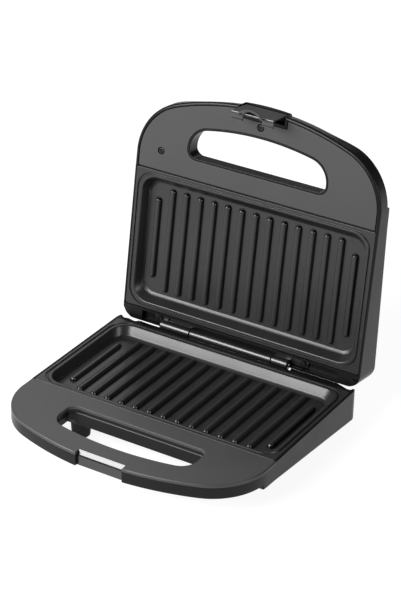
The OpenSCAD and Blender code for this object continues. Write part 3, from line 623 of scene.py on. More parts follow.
# Tinted acrylic lenses on the lid: deep colour under a smooth, bright surface.
RED_LENS = Finish("acrylic_red", "#b01812", "#a0140f", 0.12, 0.03, transmission=0.35, grain_mm=0.1,
                  grain_strength=0.05)
GREEN_LENS = Finish("acrylic_green", "#17803a", "#146f33", 0.12, 0.03, transmission=0.35, grain_mm=0.1,
                    grain_strength=0.05)

# ---- casings ----


@dataclass
class Casing:
    """What both halves' moulded casings share: outer face, hinge trough, well and screw wells.

    Each half's own class adds its outline, the height of its top, its rim's radius and its rim.
    """

    half: Half
    name: str
    node: str
    grip_t: float
    front_h: float
    rear_h: float
    heel_r: float
    rear_r: float
    hole: DShape
    wells: tuple[Point, ...] = ()
    lean: float = 0.0
    half_w: float = 117.0
    reach: float = 203.0
    arc_r: float = 240.0
    corner_r: float = 52.0
    rear: float = 12.5
    body_front: float = -143.5
    wall_t: float = 2.2
    meet: float = -0.15
    cover_back: float = -126.6
    notch_half: float = 21.8
    pocket_half: float = 115.4
    pocket_back: float = 0.6
    well_half: float = 109.9
    well_y: tuple[float, float] = (-121.0, -4.9)
    well_r: float = 8.0
    trough_half: float = 97.0
    trough_front: float = 2.55
    trough_z: float = -5.3
    sill_z: float = -3.4
    barrels_x: tuple[float, float] = (-77.5, 52.0)
    wall_x: float = 52.5
    wall_y: float = 10.3
    scoop_front: float = 5.9
    scoop_r: float = 4.2
    scoop_least: float = 3.2
    hole_round: float = 1.0
    screw_well_r: float = 3.2
    screw_well_z: float = -10.4

    def __post_init__(self) -> None:
        """Works out the plan, the slope of the outer face and the centre of the heel's round."""
        self.plan = DShape(self.half_w, self.reach, self.arc_r, self.corner_r, self.rear, self.rear_r)
        self.heel_y = self.rear - self.heel_r
        run = self.heel_y - self.body_front
        self.slope = math.atan((self.rear_h - self.front_h) / run)
        self.heel_z = self.front_h + run * math.tan(self.slope) - self.heel_r / math.cos(self.slope)
        self.step = (self.body_front - 1.0, self.body_front - 0.2)

    def depth(self, y: float) -> float:
        """Depth of the outer face below the parting plane.

        Args:
            y: Place from front to back.

        Returns:
            The depth: the grip's, then after a step the body's, which ends in a round heel.
        """
        if y > self.heel_y - self.heel_r * math.sin(self.slope):
            dy = min(max(y - self.heel_y, -self.heel_r), self.heel_r)
            return self.heel_z + math.sqrt(self.heel_r**2 - dy * dy)
        body = self.front_h + (y - self.body_front) * math.tan(self.slope)
        return self.grip_t + (body - self.grip_t) * blend(y, *self.step)

    def outer(self, x: float, y: float) -> float:
        """Height of the outer face."""
        return -self.depth(y)

    def inner(self, x: float, y: float) -> float:
        """Height of the well's floor, one wall above the outer face."""
        return self.wall_t - self.depth(y)

    def trough(self, x: float, y: float) -> float:
        """Height of the deck and the hinge trough, with the scoops round the barrels.

        Args:
            x: Place from left to right.
            y: Place from front to back.

        Returns:
            The height.
        """
        z = self.meet
        if abs(x) < self.trough_half and y > self.trough_front:
            left, right = self.barrels_x
            z = self.trough_z if y < self.wall_y or left < x < right else self.sill_z
        if y > self.scoop_front:
            scoop = math.sqrt(max(self.scoop_r**2 - (y - HINGE_Y) ** 2, 0.0))
            z = min(z, -scoop if y < HINGE_Y else -max(scoop, self.scoop_least))
        return z

    def foot_round(self, x: float, y: float) -> float:
        """Radius of the outer face's edge: small at the grip, larger on the body, least at the heel."""
        return 1.4 + 0.8 * blend(y, self.body_front, self.body_front + 20.0) - 1.4 * blend(y, -8.0, 6.0)

    def lean_in(self, x: float, y: float) -> float:
        """How far the front wall leans in towards the outer face."""
        return self.lean * (1.0 - blend(abs(x), 55.0, 92.0)) if y < -150.0 else 0.0

    def trough_lines(self) -> list[list[Point]]:
        """Rows along the hinge trough, where its floor and scoops change height.

        Returns:
            The rows of points, each pair of which is close to where a wall stands.
        """
        rows = (2.45, 2.65, 5.85, 6.5, 7.5, 8.7, 10.0, 10.25, 10.4, 11.0)
        xs = [-97.8, -97.05, -96.95, -90.0, -77.55, -77.45, -60.0, -40.0, -20.0, 0.0, 20.0, 40.0,
              51.95, 52.05, 52.45, 52.55, 60.0, 75.0, 90.0, 96.95, 97.05, 97.8]
        return [[(x, y) for x in xs] for y in rows]

    def corner_seeds(self) -> list[Point]:
        """A close grid over the deck's rear corners."""
        return [(s * (98.8 + 0.8 * i), 1.2 + 0.85 * j) for s in (-1, 1) for i in range(22) for j in range(13)]

    def build_well(self, shell: Shell, *mouth: Ring) -> None:
        """Builds the well below the plate.

        Args:
            shell: The mesh.
            mouth: Rows of vertices from the rim down to the well's upper edge.
        """
        floor = shell.ring(self.well_points(), self.inner)
        shell.bridge(*mouth, floor)
        shell.cap([floor], self.inner)

    def well_points(self) -> list[Point]:
        """Outline of the well below the plate."""
        return round_rect(self.well_half, *self.well_y, self.well_r)

    def build_underside(self, shell: Shell, outer: Ring, hole: Ring) -> None:
        """Builds the outer face with its screw wells.

        Args:
            shell: The mesh.
            outer: Row of vertices round the casing's lower edge.
            hole: Row of vertices round the lower edge of the grip's hole.
        """
        loops = [outer, hole]
        for x, y in self.wells:
            roof, rim = shell.wall(circle(x, y, self.screw_well_r, 28), level(self.screw_well_z), self.outer,
                                   0.0, 0.4, True)
            shell.cap([roof], level(self.screw_well_z))
            loops.append(rim)
        xs = [-113.0, -100.0, -89.0, -70.0, -50.0, -25.0, 0.0, 25.0, 50.0, 70.0, 89.0, 100.0, 113.0]
        heel = [self.heel_y + self.heel_r * math.sin(math.radians(a)) for a in range(-4, 66, 7)]
        lines = [[(x, y) for x in xs] for y in heel if y < self.rear - 3.2]
        lines += [[(s * a, y), (s * b, y)] for a, b in ((70.0, 87.0), (98.0, 112.0)) for s in (-1, 1)
                  for y in self.step]
        shell.cap(loops, self.outer, lines)

    def build(self, finish: Finish) -> None:
        """Builds the casing as one closed mesh.

        Args:
            finish: Its material.
        """
        shell = Shell()
        rows = [self.step[0], (self.step[0] + self.step[1]) / 2, self.step[1], self.cover_back - 0.3,
                self.cover_back, 0.0, 1.5, 3.0]
        outer_top, outer_low = shell.wall(self.outline().points(rows), self.top, self.outer, self.rim_round,
                                          self.foot_round, lean=self.lean_in)
        hole_low = self.build_rim(shell, outer_top)
        self.build_underside(shell, outer_low, hole_low)
        shell.build(self.name, self.half, finish, "black_plastic", [self.node])


@dataclass
class BaseCasing(Casing):
    """The lower casing: its grip carries a cover, and its rear corners are bitten out."""

    half: Half = Half.BASE
    name: str = "base_casing"
    node: str = "lower_casing"
    grip_t: float = 13.5
    front_h: float = 17.6
    rear_h: float = 28.3
    heel_r: float = 9.0
    rear_r: float = 11.5
    hole: DShape = field(default_factory=lambda: DShape(65.0, 180.5, 250.5, 15.0, -143.5, 7.0))
    wells: tuple[Point, ...] = ((-92.5, -144.5), (0.0, -188.5), (92.5, -144.5))
    cover_z: float = -3.02
    notch_y: float = -199.5
    ramp_y: tuple[float, float] = (-199.7, -196.55)
    ramp_z: float = -5.0
    wall_z: float = -2.95
    bite_x: float = 105.5
    bite_half: float = 8.4
    bite_r: float = 8.5
    bite_z: float = 2.0
    pocket_r: float = 2.0
    pocket_z: float = -2.85
    mouth_gap: float = 0.5
    ledge_z: float = -6.3
    hole_z: float = -6.9

    def outline(self) -> DShape:
        """The casing's plan with the latch's notch."""
        return replace(self.plan, notch=(self.notch_half, self.notch_y), splits=(25.0,))

    def top(self, x: float, y: float) -> float:
        """Height of the rim, of the deck behind the plate and of what lies under the cover.

        Args:
            x: Place from left to right.
            y: Place from front to back.

        Returns:
            The height.
        """
        if y > self.pocket_back:
            if self.wall_x < x < self.trough_half and y > self.wall_y:
                return self.wall_z
            z, dx = self.trough(x, y), abs(x) - self.bite_x
            if abs(dx) < self.bite_half and y > self.trough_front:
                z = min(z, self.bite_z - math.sqrt(self.bite_r**2 - dx * dx))
            return z
        if abs(x) <= self.notch_half + 0.01 and self.ramp_y[0] < y < self.ramp_y[1]:
            return self.ramp_z
        return self.meet if y > self.cover_back - 0.15 else self.cover_z

    def rim_round(self, x: float, y: float) -> float:
        """Radius of the rim's outer edge: sharp under the cover, rolled beside the plate."""
        return 0.02 if y < self.cover_back - 0.1 else (1.0 if y < 0.0 else 0.25)

    def build_rim(self, shell: Shell, outer: Ring) -> Ring:
        """Builds the rim's face, the hole with its stepped mouth, and the pocket of the plate.

        Args:
            shell: The mesh.
            outer: Row of vertices round the casing's upper edge.

        Returns:
            The row of vertices round the lower edge of the grip's hole.
        """
        hole = self.hole.points(self.step)
        wide = grown(hole, self.mouth_gap)
        mouth = shell.ring(wide, level(self.cover_z))
        shell.bridge(mouth, shell.ring(wide, level(self.ledge_z)), shell.ring(hole, level(self.hole_z)))
        _, hole_low = shell.wall(hole, level(self.hole_z), self.outer, 0.0, self.hole_round, True)
        lines = self.trough_lines()
        lines.append([(x, self.cover_back - 0.3) for x in (-115.9, 0.0, 115.9)])
        lines += [[(-21.7, y), (21.7, y)] for y in (self.ramp_y[1] - 0.05, self.ramp_y[1] + 0.05)]
        pocket = round_rect(self.pocket_half, self.cover_back, self.pocket_back, self.pocket_r)
        plate_top = shell.ring(pocket, level(self.meet))
        shell.cap([outer, plate_top, mouth], self.top, lines, self.corner_seeds())
        self.build_well(shell, plate_top, shell.ring(pocket, level(self.pocket_z)),
                        shell.ring(self.well_points(), level(self.pocket_z)))
        return hole_low


@dataclass
class LidCasing(Casing):
    """The upper casing: its rolled rim stands round a panel, and its front wall leans in."""

    half: Half = Half.LID
    name: str = "lid_casing"
    node: str = "upper_casing"
    grip_t: float = 14.0
    front_h: float = 17.2
    rear_h: float = 28.6
    heel_r: float = 13.0
    rear_r: float = 11.0
    hole: DShape = field(default_factory=lambda: DShape(65.0, 177.4, 247.4, 19.0, -146.2, 6.5))
    lean: float = 2.3
    notch_y: float = -194.35
    notch_z: float = -10.95
    corner_x: float = 110.0
    corner_y: float = 5.0
    corner_drop: float = 0.65
    rim_w: float = 2.7
    bay_notch: tuple[float, float] = (24.0, -192.15)
    bay_z: float = -2.75
    collar_w: float = 1.9
    collar_z: float = -0.4
    flare: float = 2.7

    def outline(self) -> DShape:
        """The casing's plan with close points where the latch's recess begins."""
        return replace(self.plan, splits=(self.notch_half - 0.05, self.notch_half + 0.05))

    def top(self, x: float, y: float) -> float:
        """Height of the rim, of the deck behind the plate and of the latch's recess.

        Args:
            x: Place from left to right.
            y: Place from front to back.

        Returns:
            The height.
        """
        if y > self.pocket_back:
            if abs(x) > self.trough_half or (x > self.wall_x and y > self.wall_y):
                return self.meet - (self.corner_drop if abs(x) > self.corner_x and y > self.corner_y else 0.0)
            return self.trough(x, y)
        return self.notch_z if abs(x) < self.notch_half and y < self.notch_y else self.meet

    def rim_round(self, x: float, y: float) -> float:
        """Radius of the rim's outer edge: rolled round the grip, smaller at the latch and the rear.

        Args:
            x: Place from left to right.
            y: Place from front to back.

        Returns:
            The radius.
        """
        if abs(x) < self.notch_half + 1.0 and y < -150.0:
            return 0.25
        return 0.5 if y > 3.0 else 0.7 + 1.5 * (1.0 - blend(y, -128.0, -124.0))

    def flare_out(self, x: float, y: float) -> float:
        """How far the hole widens towards the outer face, away from its ends."""
        return self.flare * (1.0 - blend(abs(x), 46.0, 63.0))

    def build_rim(self, shell: Shell, outer: Ring) -> Ring:
        """Builds the rim's face, the bay of the panel, and the hole in its raised collar.

        Args:
            shell: The mesh.
            outer: Row of vertices round the casing's upper edge.

        Returns:
            The row of vertices round the lower edge of the grip's hole.
        """
        back, half = self.cover_back, self.pocket_half
        front = self.plan.variant(self.rim_w, back, self.bay_notch).points()
        turn = [i for i, p in enumerate(front) if p[1] == back]
        sides = [(half, back + 0.2), (half, self.pocket_back), (-half, self.pocket_back), (-half, back + 0.2)]
        mouth, floor = shell.wall(front[:turn[0] + 1] + sides + front[turn[-1]:], level(self.meet),
                                  level(self.bay_z), 0.05, 0.0, True)
        edge = -self.reach + 1.6
        recess = []
        for gap in (-0.05, 0.05):
            x = self.notch_half + gap
            box = round_rect(x, -212.0, self.notch_y + gap, 0.4, 3)
            recess.append([(x, edge)] + [p for p in box if p[1] > edge] + [(-x, edge)])
        shell.cap([outer, mouth], self.top, recess + self.trough_lines(), self.corner_seeds())
        hole = self.hole.points(self.step)
        collar_top, collar_foot = shell.wall(grown(hole, self.collar_w), level(self.collar_z),
                                             level(self.bay_z), 0.25, 0.0)
        hole_top, hole_low = shell.wall(hole, level(self.collar_z), self.outer, 0.7, self.hole_round, True,
                                        self.flare_out)
        shell.cap([collar_top, hole_top], level(self.collar_z))
        well_top = shell.ring(self.well_points(), level(self.bay_z))
        shell.cap([floor, collar_foot, well_top], level(self.bay_z))
        self.build_well(shell, well_top)
        return hole_low


# ---- covers ----


@dataclass
class GripCover:
    """The satin cover of the lower grip and the ramp that the latch slides over."""

    body: BaseCasing
    cover_t: float = 3.0
    notch_y: float = -196.5
    ramp_front: float = -199.56
    ramp_back: float = -196.4
    ramp_foot: float = -12.6

    def edge_round(self, x: float, y: float) -> float:
        """Radius of the cover's outer edge, small beside the latch's notch and at the seam.

        Args:
            x: Place from left to right.
            y: Place from front to back.

        Returns:
            The radius.
        """
        if y > -127.0:
            return 1.5 if abs(x) > 110.0 else 0.3
        return 0.35 + 1.15 * blend(abs(x), 22.0, 26.0)

    def build(self, finish: Finish) -> None:
        """Builds the cover, first too long and then cut off square at its seam.

        Args:
            finish: Its material.
        """
        b = self.body
        outline = b.plan.variant(0.0, -118.0, (b.notch_half, self.notch_y), (26.0, 24.0))
        shell = Shell()
        shell.slab(outline.points([-130.0]), level(b.meet), level(-self.cover_t), self.edge_round, 0.1,
                   [b.hole.points()], 0.55, 0.1)
        whole = shell.bm.verts[:] + shell.bm.edges[:] + shell.bm.faces[:]
        cut = bmesh.ops.bisect_plane(shell.bm, geom=whole, dist=1e-5, plane_co=(0, b.cover_back, 0),
                                     plane_no=(0, 1, 0), clear_outer=True)
        rim = [g for g in cut["geom_cut"] if isinstance(g, bmesh.types.BMEdge)]
        bmesh.ops.holes_fill(shell.bm, edges=rim, sides=0)
        shell.build("grip_top_cover", b.half, finish, "black_plastic", ["handle_cover"])

    def build_ramp(self, finish: Finish) -> None:
        """Builds the ramp as a profile drawn from the side.

        Args:
            finish: Its material.
        """
        front, back, foot = self.ramp_front, self.ramp_back, self.ramp_foot
        profile = [(front, foot), (back, foot), (back, -0.2), (back - 0.2, -0.17), (front + 0.16, -4.4),
                   (front, -4.7)]
        half = self.body.notch_half - 0.02
        shell = Shell()
        shell.slab(profile, level(half), level(-half), 0.02, 0.02)
        shell.build("latch_ramp", self.body.half, finish, "black_plastic", (), FROM_SIDE)


@dataclass
class LidPanel:
    """The lid's inner panel and the pan heads with a cross recess that hold it."""

    body: LidCasing
    rim_w: float = 3.5
    top: float = -0.45
    panel_t: float = 2.2
    seam: float = 0.8
    notch: tuple[float, float] = (24.6, -191.5)
    collar_gap: float = 2.2
    screw_xy: tuple[Point, ...] = ((-92.5, -144.5), (0.0, -187.0))
    bore_r: float = 3.25
    head_r: float = 2.75
    head_z: tuple[float, float] = (-0.7, -2.4)
    slot: float = 0.42
    slot_r: float = 1.7
    slot_depth: float = 0.9

    def build(self, finish: Finish) -> None:
        """Builds the panel with its screw holes and its cut for the latch.

        Args:
            finish: Its material.
        """
        b = self.body
        outline = b.plan.variant(self.rim_w, b.cover_back - self.seam, self.notch)
        bores = [circle(x, y, self.bore_r, 28) for x, y in self.screw_xy]
        shell = Shell()
        shell.slab(outline.points(), level(self.top), level(self.top - self.panel_t), 0.35, 0.1,
                   [grown(b.hole.points(), self.collar_gap)] + bores, 0.35, 0.1)
        shell.build("lid_inner_panel", b.half, finish, "grey_plastic", ["lid_panel"])

    def cross(self, x: float, y: float) -> list[Point]:
        """Outline of a cross recess, turned as the screw happened to stop.

        Args:
            x: The screw's place from left to right.
            y: The screw's place from front to back.

        Returns:
            The outline.
        """
        a, b = self.slot, self.slot_r
        corners = [(b, -a), (b, a), (a, a), (a, b), (-a, b), (-a, a), (-b, a), (-b, -a), (-a, -a), (-a, -b),
                   (a, -b), (a, -a)]
        turn = math.radians(30.0 + 17.0 * x)
        return [(x + p * math.cos(turn) - q * math.sin(turn), y + p * math.sin(turn) + q * math.cos(turn))
                for p, q in corners]

    def build_screws(self, finish: Finish) -> None:
        """Builds the screw heads as one piece.

        Args:
            finish: Their material.
        """
        shell = Shell()
        top, seat = self.head_z
        for x, y in self.screw_xy:
            shell.slab(circle(x, y, self.head_r, 32), level(top), level(seat), 0.7, 0.05,
                       [self.cross(x, y)], 0.08, 0.0)
            floor = level(top - self.slot_depth)
            shell.cap([shell.ring(circle(x, y, self.slot_r + 0.3, 16), floor)], floor)
        shell.build("lid_panel_screw_heads", self.body.half, finish, "plated_steel", ["lid_panel_screws"])


# ---- grill plates ----


@dataclass
class GrillPlate:
    """A cast plate: flange, groove, bead, leaning recess walls and rounded ribs."""

    half: Half
    label: str
    node: str
    half_w: float = 115.0
    depth: float = 126.1
    flange_z: float = -0.2
    flange_t: float = 2.6
    flange_round: float = 0.45
    # Groove and bead: how far in from the sides, how far in from front and back, and how deep.
    bead: tuple[tuple[float, float, float], ...] = (
        (2.0, 2.0, 0.0), (2.3, 2.25, 0.06), (2.5, 2.45, 0.6), (2.7, 2.65, 1.25), (3.3, 3.1, 1.4),
        (3.9, 3.5, 1.25), (4.15, 3.7, 0.6), (4.55, 3.95, 0.05), (5.0, 4.25, -0.05), (5.9, 5.0, -0.05))
    recess_x: float = 107.5
    recess_y: tuple[float, float] = (-119.7, -6.4)
    recess_h: float = 9.5
    recess_r: float = 14.0
    lip_round: float = 1.3
    floor_round: float = 1.9
    lean_side: float = 2.8
    lean_end: float = 4.6
    wall_t: float = 2.0
    rib_pitch: float = 13.63
    rib_w: float = 5.4
    rib_top: float = 3.0
    rib_h: float = 3.3
    rib_y: tuple[float, float] = (-107.7, -18.4)
    rib_short: float = 10.6
    rib_last: int = 7

    def rows(self) -> list[tuple[float, float, float, float, float]]:
        """Rounded rectangles from the flange's foot over the groove and bead to the floor.

        Returns:
            Half width, front, rear, corner radius and height of each.
        """
        z, w, d = self.flange_z, self.half_w, self.depth
        out = [(w - 0.3, -d + 0.3, -0.3, 1.4, z - self.flange_t), (w, -d, 0.0, 1.6, z - self.flange_t + 0.3)]
        for k in range(5):
            t = math.pi / 2 * k / 4
            i, drop = self.flange_round * (1 - math.cos(t)), self.flange_round * (1 - math.sin(t))
            out.append((w - i, -d + i, -i, 1.6, z - drop))
        for i, j, drop in self.bead:
            out.append((w - i, -d + j, -j, self.recess_r + 2.0 - 0.35 * i, z - drop))
        rx, (y0, y1), h = self.recess_x, self.recess_y, self.recess_h
        for k in range(1, 6):
            t = math.pi / 2 * k / 5 * 0.84
            i, drop = self.lip_round * (1 - math.sin(t)), self.lip_round * (1 - math.cos(t))
            out.append((rx + i, y0 - i, y1 + i, self.recess_r + i * 0.5, z - drop))
        for f in (0.45, 0.72):
            out.append((rx - self.lean_side * f, y0 + self.lean_end * f, y1 - self.lean_end * f,
                        self.recess_r - 1.5 * f, -h * f - 0.5 * (1 - f)))
        for k in range(5):
            t = math.pi / 2 * k / 4
            i, up = self.floor_round * math.sin(t), self.floor_round * (1 - math.sin(t) ** 0.9) * 0.9
            f = (h - up) / h if k else 0.83
            out.append((rx - self.lean_side * f - i * 0.5, y0 + self.lean_end * f + i,
                        y1 - self.lean_end * f - i, self.recess_r - 2.0, -h + up))
        return out

    def rib_places(self) -> list[tuple[float, float, float]]:
        """Place of each rib and the centres of its two ends, with the outermost ribs shorter.

        Returns:
            The rib's x, the y of its front end and the y of its rear end.
        """
        (y0, y1), short, last = self.rib_y, self.rib_short, self.rib_last
        inner = [(i * self.rib_pitch, y0, y1) for i in range(1 - last, last)]
        return inner + [(s * last * self.rib_pitch, y0 + short, y1 - short) for s in (-1, 1)]

    def rib(self, shell: Shell, x: float, y0: float, y1: float) -> Ring:
        """Adds one rib with ball ends.

        Args:
            shell: The mesh.
            x: The rib's place.
            y0: Centre of its front end.
            y1: Centre of its rear end.

        Returns:
            The row of vertices at its foot.
        """
        w, t, h = self.rib_w / 2, self.rib_top / 2, self.rib_h
        section = [(w + 0.75, 0.0), (w + 0.5, -0.4), (w + 0.1, -0.45), (w - 0.1, 0.2), (w - 0.2, 0.7),
                   (t + 0.75, h - 1.2), (t + 0.5, h - 0.62), (t + 0.05, h - 0.22), (t - 0.6, h - 0.03),
                   (0.12, h)]
        rings = []
        for r, z in section:
            points = arc(x, y0, r, 180.0, 360.0, 10) + arc(x, y1, r, 0.0, 180.0, 10)
            rings.append(shell.ring(points, level(-self.recess_h + z)))
        shell.bridge(*rings)
        top = rings[-1]
        n = len(top) // 2
        for i in range(n - 1):
            shell.bm.faces.new((top[i], top[i + 1], top[2 * n - 2 - i], top[2 * n - 1 - i]))
        return rings[0]

    def build(self, finish: Finish) -> None:
        """Builds the plate as one closed mesh.

        Args:
            finish: Its material.
        """
        shell = Shell()
        rings = [shell.ring(round_rect(w, y0, y1, r, 10), level(z)) for w, y0, y1, r, z in self.rows()]
        shell.bridge(*rings)
        feet = [self.rib(shell, *place) for place in self.rib_places()]
        shell.cap([rings[-1]] + feet, level(-self.recess_h))
        t, h, side, end = self.wall_t, self.recess_h, self.lean_side, self.lean_end
        under = [rings[0]]
        for i, j, r, z in ((t, t, self.recess_r, self.flange_z - self.flange_t),
                           (t - side, t - end, self.recess_r, -h - t + 1.0),
                           (-side, -end, self.recess_r - 1.0, -h - t)):
            front, rear = self.recess_y
            under.append(shell.ring(round_rect(self.recess_x + i, front - j, rear + j, r, 10), level(z)))
        shell.bridge(*under)
        shell.cap([under[-1]], level(-h - t))
        shell.build(f"{self.label}_grill_plate", self.half, finish, "plate_coating", [self.node])

    def build_painted_shade_ends(self, finish: Finish) -> None:
        """Builds glossy caps over the ribs' round front ends as one piece; their darker black is painted
        shade.

        Args:
            finish: Their material.
        """
        # Each cap stands just proud of a rib's end, so that its darker finish, painted shade, covers it.
        shell = Shell()
        r, h = self.rib_w / 2 + 0.12, self.rib_h + 0.06
        angles = [math.radians(a) for a in range(0, 90, 12)]
        dome = [(r * math.cos(a), 0.5 + (h - 0.5) * math.sin(a)) for a in angles]
        for x, y, _ in sorted(self.rib_places()):
            shell.lathe([(r, 0.0)] + dome + [(0.0, h)], Matrix.Translation((x, y, -self.recess_h)), 24)
        shell.build(f"{self.label}_rib_end_shade_caps", self.half, finish, "plate_coating")


# ---- hinge ----


@dataclass
class Hinge:
    """Barrels along the rear edge: one fixed to the base and two to the lid."""

    axis_y: float = HINGE_Y
    barrel_r: float = 4.6
    collar_w: float = 1.6
    collar_step: float = 0.35
    pin_r: float = 1.65
    trough: float = 5.3
    web_y: tuple[float, float] = (-4.3, -0.2)
    web_z: float = -2.2
    knuckle_x0: float = -76.0
    barrel_x0: float = -46.0
    barrel_x1: float = 34.5
    knuckle_x1: float = 50.5
    gap: float = 0.5
    tab_y: tuple[float, float] = (3.0, 9.5)
    tab_t: float = 2.0
    screw_y: float = 6.35
    screw_r: float = 1.45

    def barrel(self, shell: Shell, x0: float, x1: float, collar: float = 0.0) -> None:
        """Adds a bored barrel along x.

        Args:
            shell: The mesh.
            x0: Left end.
            x1: Right end.
            collar: Width of a thicker collar at its left end.
        """
        r, bore = self.barrel_r, self.pin_r
        thin = r - (self.collar_step if collar else 0.0)
        profile = [(bore, x0), (r - 0.7, x0), (r - 0.2, x0 + 0.2), (r, x0 + 0.7)]
        if collar:
            profile += [(r, x0 + collar), (thin, x0 + collar + 0.5)]
        profile += [(thin, x1 - 0.8), (thin - 0.25, x1 - 0.22), (thin - 0.8, x1), (bore, x1)]
        place = Matrix.Translation((0, self.axis_y, 0)) @ Matrix.Rotation(math.pi / 2, 4, "Y")
        shell.lathe(profile, place, 48)

    def web(self, shell: Shell, x0: float, x1: float) -> None:
        """Adds the web between a barrel and the floor of the trough.

        Args:
            shell: The mesh.
            x0: Left end of the barrel.
            x1: Right end of the barrel.
        """
        a, b = x0 + 0.2, x1 - 0.2
        front, rear = (self.axis_y + y for y in self.web_y)
        shell.slab([(a, front), (b, front), (b, rear), (a, rear)], level(self.web_z), level(-self.trough),
                   0.1, 0.3)

    def ear(self, side: str, span: Point, tab: Point, screw_x: float, finish: Finish) -> None:
        """Builds one of the lid's knuckles with its screwed tab.

        Args:
            side: Which of the two it is.
            span: Left and right end of its barrel.
            tab: Left and right end of its tab.
            screw_x: Place of the tab's screw.
            finish: Its material.
        """
        shell = Shell()
        self.barrel(shell, *span)
        self.web(shell, *span)
        (a, b), (front, rear) = tab, self.tab_y
        shell.slab([(a, front), (b, front), (b, rear), (a, rear)], level(-self.trough + self.tab_t),
                   level(-self.trough), 0.5, 0.1, [circle(screw_x, self.screw_y, self.screw_r, 20)], 0.2, 0.1)
        shell.build(f"hinge_knuckle_{side}", Half.LID, finish, "black_plastic", [f"hinge_ear_{side}"])

    def build(self, finish: Finish) -> None:
        """Builds the base's barrel and the lid's two ears.

        Args:
            finish: Their material.
        """
        shell = Shell()
        self.barrel(shell, self.barrel_x0, self.barrel_x1, self.collar_w)
        self.web(shell, self.barrel_x0, self.barrel_x1)
        shell.build("hinge_middle_barrel", Half.BASE, finish, "black_plastic", ["hinge_bracket"])
        left, right = self.knuckle_x0, self.knuckle_x1
        self.ear("left", (left, self.barrel_x0 - self.gap), (left - 9.0, left + 4.0), left - 4.3, finish)
        self.ear("right", (self.barrel_x1 + self.gap, right), (right - 4.0, right + 16.5), right + 11.8,
                 finish)


# ---- latch ----


@dataclass
class Latch:
    """The swinging latch: a cover that ends in a nose, two hooks and an arched finger tab."""

    width: float = 40.0
    pin_y: float = -197.7
    pin_z: float = 7.6
    boss_r: float = 3.0
    pin_r: float = 1.55
    front_y: float = -201.4
    inner_y: float = -199.8
    nose_z: float = -16.25
    hook_y: float = -194.2
    hook_x: float = 9.0
    hook_t: float = 2.5
    tab_end: float = -21.05
    tab_half: float = 12.0
    tab_t: float = 1.5
    tab_r: float = 15.8
    tab_slope: float = 0.466

    def build(self, finish: Finish) -> None:
        """Builds the latch as one piece, hanging from the closed lid.

        Args:
            finish: Its material.
        """
        shell = Shell()
        y0, y1, z, half = self.front_y, self.inner_y, self.nose_z, self.width / 2
        cover = arc(self.pin_y, self.pin_z, self.boss_r - 0.02, -60.0, 95.0, 10)
        cover += [(-199.2, 10.25), (-200.2, 9.75), (-200.9, 9.0), (-201.2, 8.0), (y0, 3.5), (y0, -3.0),
                  (y0, z + 0.7), (y0 + 0.2, z + 0.2), (y0 + 0.7, z), (y1, z), (y1, 1.0), (y1 + 0.4, 3.4)]
        shell.slab(cover, level(half), level(-half), 0.35, 0.35,
                   [circle(self.pin_y, self.pin_z, self.pin_r, 24)], 0.1, 0.1)
        tip, top = self.hook_y, z + self.hook_t
        hook = [(y1 - 0.6, z), (y1 + 0.4, z), (y1 + 0.9, z + 0.9), (tip - 1.6, z + 0.9), (tip - 1.2, z),
                (tip - 0.3, z + 0.1), (tip, z + 1.2), (tip, top - 0.5), (tip - 0.4, top), (y1 - 0.6, top)]
        for s in (-1, 1):
            low, high = sorted((s * self.hook_x, s * (half - 0.1)))
            shell.slab(hook, level(high), level(low), 0.45, 0.45)
        for v in shell.bm.verts:
            v.co = FROM_SIDE @ v.co
        self.tab(shell)
        shell.build("latch_lever", Half.LATCH, finish, "black_plastic", ["latch"])

    def tab(self, shell: Shell) -> None:
        """Adds the finger tab, an arched sheet that flares out of the cover.

        Args:
            shell: The mesh.
        """
        flat = math.sqrt(self.tab_r**2 - self.tab_half**2)
        cy = self.front_y + flat
        sheets: list[list[Ring]] = []
        for thick in (0.0, self.tab_t):
            rows = []
            for k in range(13):
                z = self.tab_end + (self.tab_r - flat) / self.tab_slope * k / 12
                r = max(self.tab_r - self.tab_slope * (z - self.tab_end), flat + 0.02)
                reach = math.degrees(math.acos(flat / r))
                points = arc(0.0, cy, r - thick, -90.0 - reach, -90.0 + reach, 20)
                rows.append(shell.ring3((x, y, z) for x, y in points))
            sheets.append(rows)
        outer, inner = sheets
        edges = [(outer[0], inner[0]), (outer[-1], inner[-1])]
        edges += [([row[side] for row in outer], [row[side] for row in inner]) for side in (0, -1)]
        for rows in (outer, inner, *edges):
            shell.bridge(*rows, closed=False)


# ---- feet, inlet and lamps ----


